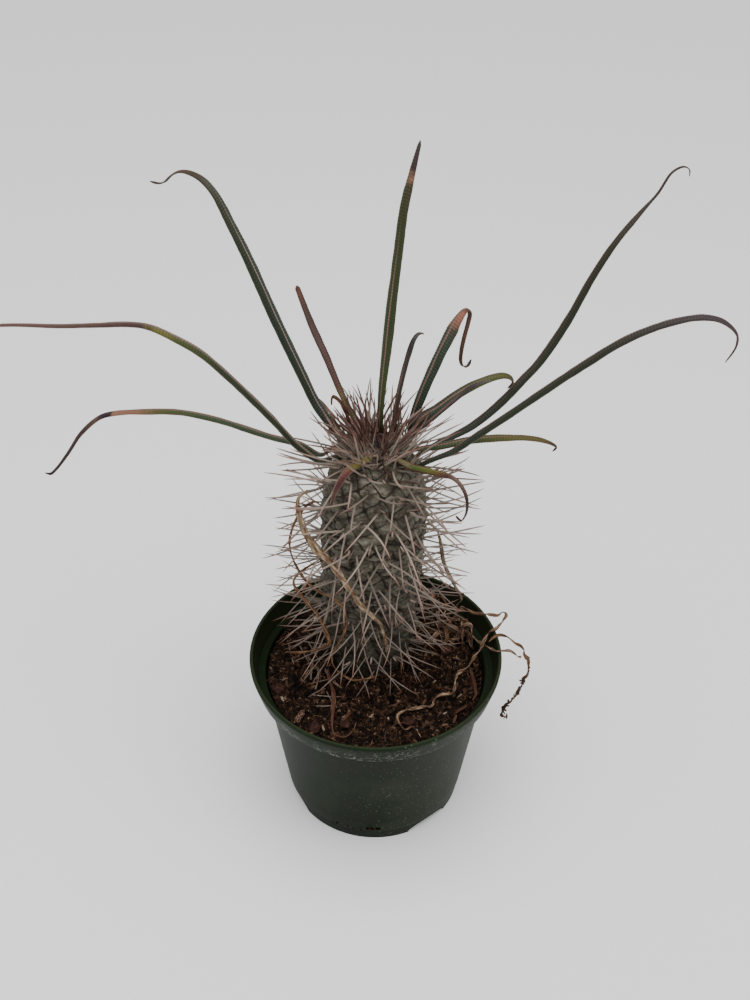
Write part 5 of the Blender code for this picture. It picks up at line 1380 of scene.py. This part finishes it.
def dry_finish(name, dark, middle, light):
    """Dry leaf tissue with streaks along it and burnt patches."""
    material, tree, shader = new_finish("dry_" + name, 0.75, IOR=1.4, Specular_IOR_Level=0.25)
    reach = add_node(tree, "ShaderNodeAttribute", attribute_name="reach").outputs["Fac"]
    across = add_node(tree, "ShaderNodeAttribute", attribute_name="across").outputs["Fac"]
    wide = add_node(tree, "ShaderNodeMath", {0: across, 1: 3 * MM}, operation="MULTIPLY")
    long_ = add_node(tree, "ShaderNodeMath", {0: reach, 1: 0.22}, operation="MULTIPLY")
    spot = add_node(tree, "ShaderNodeCombineXYZ", {"X": wide, "Y": long_})
    streaks = add_node(tree, "ShaderNodeTexNoise",
                       {"Vector": spot, "Scale": repeats(1.6), "Detail": 5.0, "Roughness": 0.6})
    ramp = add_node(tree, "ShaderNodeValToRGB", {"Fac": streaks},
                    stops=((0.36, dark), (0.51, middle), (0.64, light)))
    run = add_node(tree, "ShaderNodeCombineXYZ", {"X": reach})
    burn = add_node(tree, "ShaderNodeTexNoise", {"Vector": run, "Scale": repeats(9), "Detail": 3.0})
    burnt = add_node(tree, "ShaderNodeMapRange",
                     {"Value": burn, "From Min": 0.50, "From Max": 0.62, "To Max": 0.55})
    colour = add_node(tree, "ShaderNodeMix", {0: burnt, 6: ramp, 7: linear("#4a2a17")}, data_type="RGBA")
    bump = add_node(tree, "ShaderNodeBump", {"Height": streaks, "Strength": 0.8, "Distance": 0.25 * MM})
    feed(tree, shader, {"Base Color": colour, "Normal": bump})
    return material


dry_materials = {name: dry_finish(name, *colours) for name, colours in DRY_LOOKS.items()}
print("dry finishes:", len(dry_materials))

# %% Build the withered leaves
DRY_FACE = np.array((0.0, -0.6, 0.8))


def lay_on(name, corners):
    """Lower corners until the lowest is as low as the lowest corner of the CAD solid."""
    corners = np.array(corners)
    corners[:, 2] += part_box(name)[0].z - corners[:, 2].min()
    return corners


for number, leaf in enumerate(DRY_BLADES):
    line = line_through(leaf["route"], 0.9 * MM)
    side = np.cross(DRY_FACE, line[1] - line[0])
    corners, faces, marks = strip(line, tapered(leaf["widths"], 0.5), side, DRY_SECTION,
                                  turns=((0, 0), (1, 0.3)), waver=0.65, seed=40 + number,
                                  thinnest=0.6 * MM)
    if leaf.get("lies"):
        corners = lay_on(leaf["name"], corners)
    add_piece(leaf["name"] + "_strip", corners, faces, dry_materials[leaf["look"]],
              stands_for=leaf["name"], **marks)
print("withered leaves built:", len(DRY_BLADES))

# %% [markdown]
# ## Dry runners
# Three thin stalks wander over the soil and hang over the rim. They were juicy once and have dried
# to flat, twisted ribbons about 2 mm wide with small knots. They follow the CAD routes; the section
# is a flat oval that turns many times along the way, and knots swell it here and there.

# %% Build the runners
RUNNERS = (
    dict(name="dry_runner_long", look="tan_runner", widths=((0, 2.4), (0.86, 2.2), (0.91, 1.2), (1, 0.8)),
         route=((57, 38, 123), (61, 35, 125), (66, 31, 125), (71, 30, 125.5), (77, 29.5, 125),
                (82, 29, 125), (85, 31, 126), (87.5, 30, 125), (85.5, 26, 123.5), (80.5, 20, 122),
                (75, 16, 121.5), (73, 13, 120.5), (71, 10, 118.5), (69.5, 7, 115.5), (65, 3, 111),
                (60.5, -3, 108), (54.5, -7, 107), (52.5, -12, 106.5), (51.5, -20, 106.5),
                (49.5, -25, 107), (42, -27, 108), (38, -30, 107), (36.5, -35, 106.5),
                (31.5, -36, 106.5), (27, -37, 106.5), (20, -39, 106.5), (14.5, -43, 106.5),
                (15, -49, 106.5), (19, -55, 106.5), (23, -52.5, 106.5), (25.5, -55, 106.5),
                (28.5, -60.5, 106.5))),
    dict(name="dry_runner_short", look="tan_runner", widths=((0, 2.2), (1, 1.8)),
         route=((58, 32, 118), (61, 31, 117), (63, 30, 114), (62, 28, 110.5), (64, 25, 110),
                (69, 17, 112), (71.5, 11, 115.5), (75, 5, 118.5), (79, -1, 121.4), (82.7, -0.5, 121.4),
                (87.5, 0, 121), (91, -1, 119.5), (93.3, -2.5, 118), (95.3, -1, 116.5))),
    dict(name="dry_runner_tail", look="umber", widths=((0, 2.0), (0.4, 2.6), (1, 2.0)),
         route=((74.5, 8, 121), (78.4, 12, 121.6), (82.5, 14, 121.6), (87, 13, 121), (90, 11, 120),
                (92.3, 9, 119), (95.4, 8, 118), (97.7, 5, 117), (98, 2.5, 115), (100.5, 1, 112),
                (101, 0, 108), (100.7, -3, 102), (98.3, -3.2, 98), (97.3, -5, 93), (95.3, -5.2, 88),
                (93.3, -6.6, 84), (90.2, -7, 79), (88, -7, 77), (86.8, -7, 71), (85.5, -7.3, 67),
                (89, -8, 65))),
)
RUNNER_SECTION = [(math.cos(angle), 0.36 * math.sin(angle), 0.0)
                  for angle in np.linspace(2 * math.pi, 0, 10, endpoint=False)]
RUNNER_STEP = 0.7 * MM
TURN_PER_MM = 0.24
for number, runner in enumerate(RUNNERS):
    line = line_through(runner["route"], RUNNER_STEP)
    knots = []
    for share in np.linspace(0, 1, 90):
        swelling = 1 + 0.4 * noise.noise(Vector((share * 60, number * 3.1, 0)))
        knots.append((share, np.interp(share, *np.array(runner["widths"]).T) * swelling))
    last_turn = TURN_PER_MM * lengths_along(line)[-1] / MM
    corners, faces, marks = strip(line, knots, (0.2, 0.4, 1.0), RUNNER_SECTION,
                                  turns=((0, 0), (1, last_turn)), waver=0.6, seed=70 + number)
    corners = lay_on(runner["name"], corners)
    add_piece(runner["name"] + "_ribbon", corners, faces, dry_materials[runner["look"]],
              stands_for=runner["name"], **marks)
print("runners built:", len(RUNNERS))

# %% Add the buds on the hanging tail
BUDS = 64
tail = line_through(RUNNERS[-1]["route"], RUNNER_STEP)
bud_draw = np.random.default_rng(3)
bud_spots = [tail[int(len(tail) * share)] + bud_draw.normal(0, 0.7, 3) * MM
             for share in 1 - 0.62 * bud_draw.uniform(0.01, 1.0, BUDS) ** 1.4]
bud_corners, bud_faces = scatter_bits(bud_spots, bud_draw.uniform(0.6, 2.1, BUDS) * MM, 0.8)
bud_marks = {mark: [0.0] * len(bud_corners) for mark in ("reach", "across")}
add_piece("dry_runner_tail_buds", bud_corners, bud_faces, dry_materials["dark_thread"], **bud_marks)
print("buds:", BUDS)

# %% [markdown]
# ## Scraps and curls
# More withered tissue lies where it fell, mostly in a tangle between the stem and the right side
# of the rim. Each scrap is a thin ribbon that arches over the soil and touches it at both ends. Two
# curls have a route of their own: one stands at the front of the bed, one is caught in the spines.
# All scraps of one colour are one mesh.

# %% Curl the scraps


def joined(strips):
    """One mesh from several strips: their corners, faces and marks."""
    corners, faces, marks = [], [], {}
    for strip_corners, strip_faces, strip_marks in strips:
        first = len(corners)
        corners += list(strip_corners)
        faces += [tuple(first + corner for corner in face) for face in strip_faces]
        for mark, values in strip_marks.items():
            marks.setdefault(mark, []).extend(values)
    return corners, faces, marks


scrap_draw = np.random.default_rng(8)
SCRAP_STEPS = 8
CLEAR_OF_STEM, CLEAR_OF_WALL = 27 * MM, 69 * MM


def scrap(number, middle, spread, highest):
    """A ribbon that arches over the soil near a place, to a height, all in mm."""
    heading, bend = scrap_draw.uniform(0, 2 * math.pi), scrap_draw.normal(0, 1.6)
    reach, lift = scrap_draw.uniform(9, 26) * MM, scrap_draw.uniform(0.15, 1.0) * highest * MM
    spot = np.array(middle) * MM + scrap_draw.normal(0, spread, 2) * MM
    line = []
    for share in np.linspace(-0.5, 0.5, SCRAP_STEPS + 1):
        angle = heading + bend * share
        spot = spot + np.array((math.cos(angle), math.sin(angle))) * reach / SCRAP_STEPS
        away = spot - STEM_FOOT[:2]
        spot = STEM_FOOT[:2] + away * max(1.0, CLEAR_OF_STEM / np.linalg.norm(away))
        spot = spot * min(1.0, CLEAR_OF_WALL / np.linalg.norm(spot))
        line.append((*spot, rough_height(*spot) + 0.9 * MM + lift * (1 - 4 * share * share)))
    widths = ((0, 1.0), (0.5, scrap_draw.uniform(1.4, 3.4)), (1, 1.0))
    return strip(spaced(smooth_route(line), 0.8 * MM), widths, (0.1, 0.2, 1.0), DRY_SECTION,
                 turns=((0, 0), (1, scrap_draw.normal(0, 2.5))), waver=0.6, seed=100 + number,
                 thinnest=0.4 * MM)


SCRAP_LOTS = (("tan_runner", (48, 34), 8, 20, 22), ("umber", (40, 40), 11, 18, 14),
              ("grey_straw", (-34, 8), 8, 5, 8), ("red_umber", (6, -40), 24, 2, 4))
for look, middle, spread, highest, count in SCRAP_LOTS:
    corners, faces, marks = joined([scrap(number, middle, spread, highest) for number in range(count)])
    add_piece(f"scraps_{look}_{count}", corners, faces, dry_materials[look], **marks)
CURLS = (((6.5, -64.5, 105.5), (6, -62, 107), (7, -58.5, 109), (10, -57, 110), (13, -59, 109.5),
          (13.2, -62, 108), (11, -64, 106.8), (9, -63, 106.8)),
         ((-39, 5, 238), (-43.5, 2, 240), (-47, 1, 238.5), (-48.3, 0, 234.5), (-46.5, -0.5, 231.5),
          (-43.8, -0.5, 232)))
corners, faces, marks = joined([strip(line_through(route, 0.6 * MM), ((0, 0.9), (1, 0.6)), (0.3, 1, 0.2),
                                      DRY_SECTION, seed=120 + number, thinnest=0.4 * MM)
                                for number, route in enumerate(CURLS)])
add_piece("dry_curls", corners, faces, dry_materials["dark_thread"], **marks)
print("scraps:", sum(lot[-1] for lot in SCRAP_LOTS), "curls:", len(CURLS))

# %% [markdown]
# ## Bark chips, a clod and a pebble
# The largest bits in the mix are chips of pine bark. Bark splits in thin layers, so a chip is flat
# and its broken sides are stepped. Each bit starts from its CAD solid: every face is split finely,
# and noise with a few sharp steps pushes the corners in and out. The pale chip is older bark with
# white flecks, and the pebble is a lump of limestone.

# %% Break the bits


def broken(name, layer_mm, depth_mm):
    """Corners and faces of a CAD bit whose surface is split finely and broken in layers."""
    shape = bmesh.new()
    shape.from_mesh(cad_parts[name].data)
    bmesh.ops.remove_doubles(shape, verts=shape.verts, dist=0.02 * MM)
    for _ in range(2):
        bmesh.ops.subdivide_edges(shape, edges=shape.edges, cuts=2, use_grid_fill=True)
    shape.normal_update()
    for vertex in shape.verts:
        spot = vertex.co / (layer_mm * MM)
        step = round(2.5 * noise.noise(spot * 0.6)) / 2.5 + 0.5 * noise.noise(spot * 2.7)
        vertex.co += vertex.normal * depth_mm * MM * (step - 0.2)
    corners = [vertex.co[:] for vertex in shape.verts]
    faces = [[vertex.index for vertex in face.verts] for face in shape.faces]
    shape.free()
    return corners, faces


def bit_finish(name, grain_mm, stops):
    """A dull mineral or bark finish with flecks of that size."""
    material, tree, shader = new_finish(name, 0.85, IOR=1.45, Specular_IOR_Level=0.2)
    place = add_node(tree, "ShaderNodeTexCoord").outputs["Object"]
    flecks = add_node(tree, "ShaderNodeTexNoise",
                      {"Vector": place, "Scale": repeats(grain_mm), "Detail": 6.0, "Roughness": 0.7})
    ramp = add_node(tree, "ShaderNodeValToRGB", {"Fac": flecks}, stops=stops)
    bump = add_node(tree, "ShaderNodeBump", {"Height": flecks, "Strength": 0.8, "Distance": 0.3 * MM})
    feed(tree, shader, {"Base Color": ramp, "Normal": bump})
    return material


pine_bark = bit_finish("pine_bark", 2.4,
                       ((0.34, "#120906"), (0.5, "#2c1812"), (0.66, "#472c22"), (0.8, "#6b4a3c")))
flecked_bark = bit_finish("flecked_bark", 1.3,
                          ((0.35, "#1d110c"), (0.52, "#4b3226"), (0.62, "#8a7565"), (0.7, "#c9bfb2")))
peat_clod = bit_finish("peat_clod", 2.0, ((0.32, "#1a0f0a"), (0.5, "#3d2820"), (0.7, "#6d5246")))
limestone = bit_finish("limestone", 1.6, ((0.35, "#8a7d66"), (0.6, "#b9ad94"), (0.8, "#d2c9b5")))
BITS = (("bark_chip_left", pine_bark, 2.2, 0.55), ("bark_chip_pale", flecked_bark, 1.8, 0.5),
        ("bark_chip_dark", pine_bark, 2.2, 0.55), ("bark_chip_front", pine_bark, 2.2, 0.5),
        ("bark_chip_right", pine_bark, 2.2, 0.5), ("clod", peat_clod, 1.6, 0.8),
        ("pebble", limestone, 1.8, 0.25))
for name, material, layer_mm, depth_mm in BITS:
    corners, faces = broken(name, layer_mm, depth_mm)
    add_piece(name + "_broken", corners, faces, material, stands_for=name, smooth=False)
print("bits broken:", len(BITS))

# %% [markdown]
# ## Dirt on the pot's foot
# Water that ran down the wall left a row of dirt specks to the left of the front slot, and a bit of
# dark red-brown bark is stuck in the slot. The specks are flattened bits of peat on the wall, whose
# radius grows by 0.136 mm with each millimetre of height.

# %% Stick the dirt on
DIRT_SPECKS = 16
WALL_FOOT_RADIUS, WALL_FOOT_HEIGHT = 60.8 * MM, 9.6 * MM
WALL_SLOPE = 0.136
speck_places = []
for _ in range(DIRT_SPECKS):
    angle = math.radians(draw.uniform(-117, -98))
    rise = draw.uniform(9.8, 13.2) * MM
    wall = WALL_FOOT_RADIUS + (rise - WALL_FOOT_HEIGHT) * WALL_SLOPE
    speck_places.append((wall * math.cos(angle), wall * math.sin(angle), rise))
dirt_corners, dirt_faces = scatter_bits(speck_places, draw.uniform(0.5, 1.3, DIRT_SPECKS) * MM, 0.6)
add_piece("pot_dirt", dirt_corners, dirt_faces, peat, smooth=False)
plug_places = ((-3.2 * MM, -60.7 * MM, 12.3 * MM), (0.4 * MM, -60.4 * MM, 12.0 * MM))
plug_corners, plug_faces = scatter_bits(plug_places, (3.2 * MM, 2.2 * MM), 0.7)
red_bark = bit_finish("red_bark", 1.2, ((0.40, "#150a07"), (0.58, "#35190f"), (0.72, "#6b3c2c")))
add_piece("slot_bark", plug_corners, plug_faces, red_bark, smooth=False)
print("dirt specks:", len(speck_places))
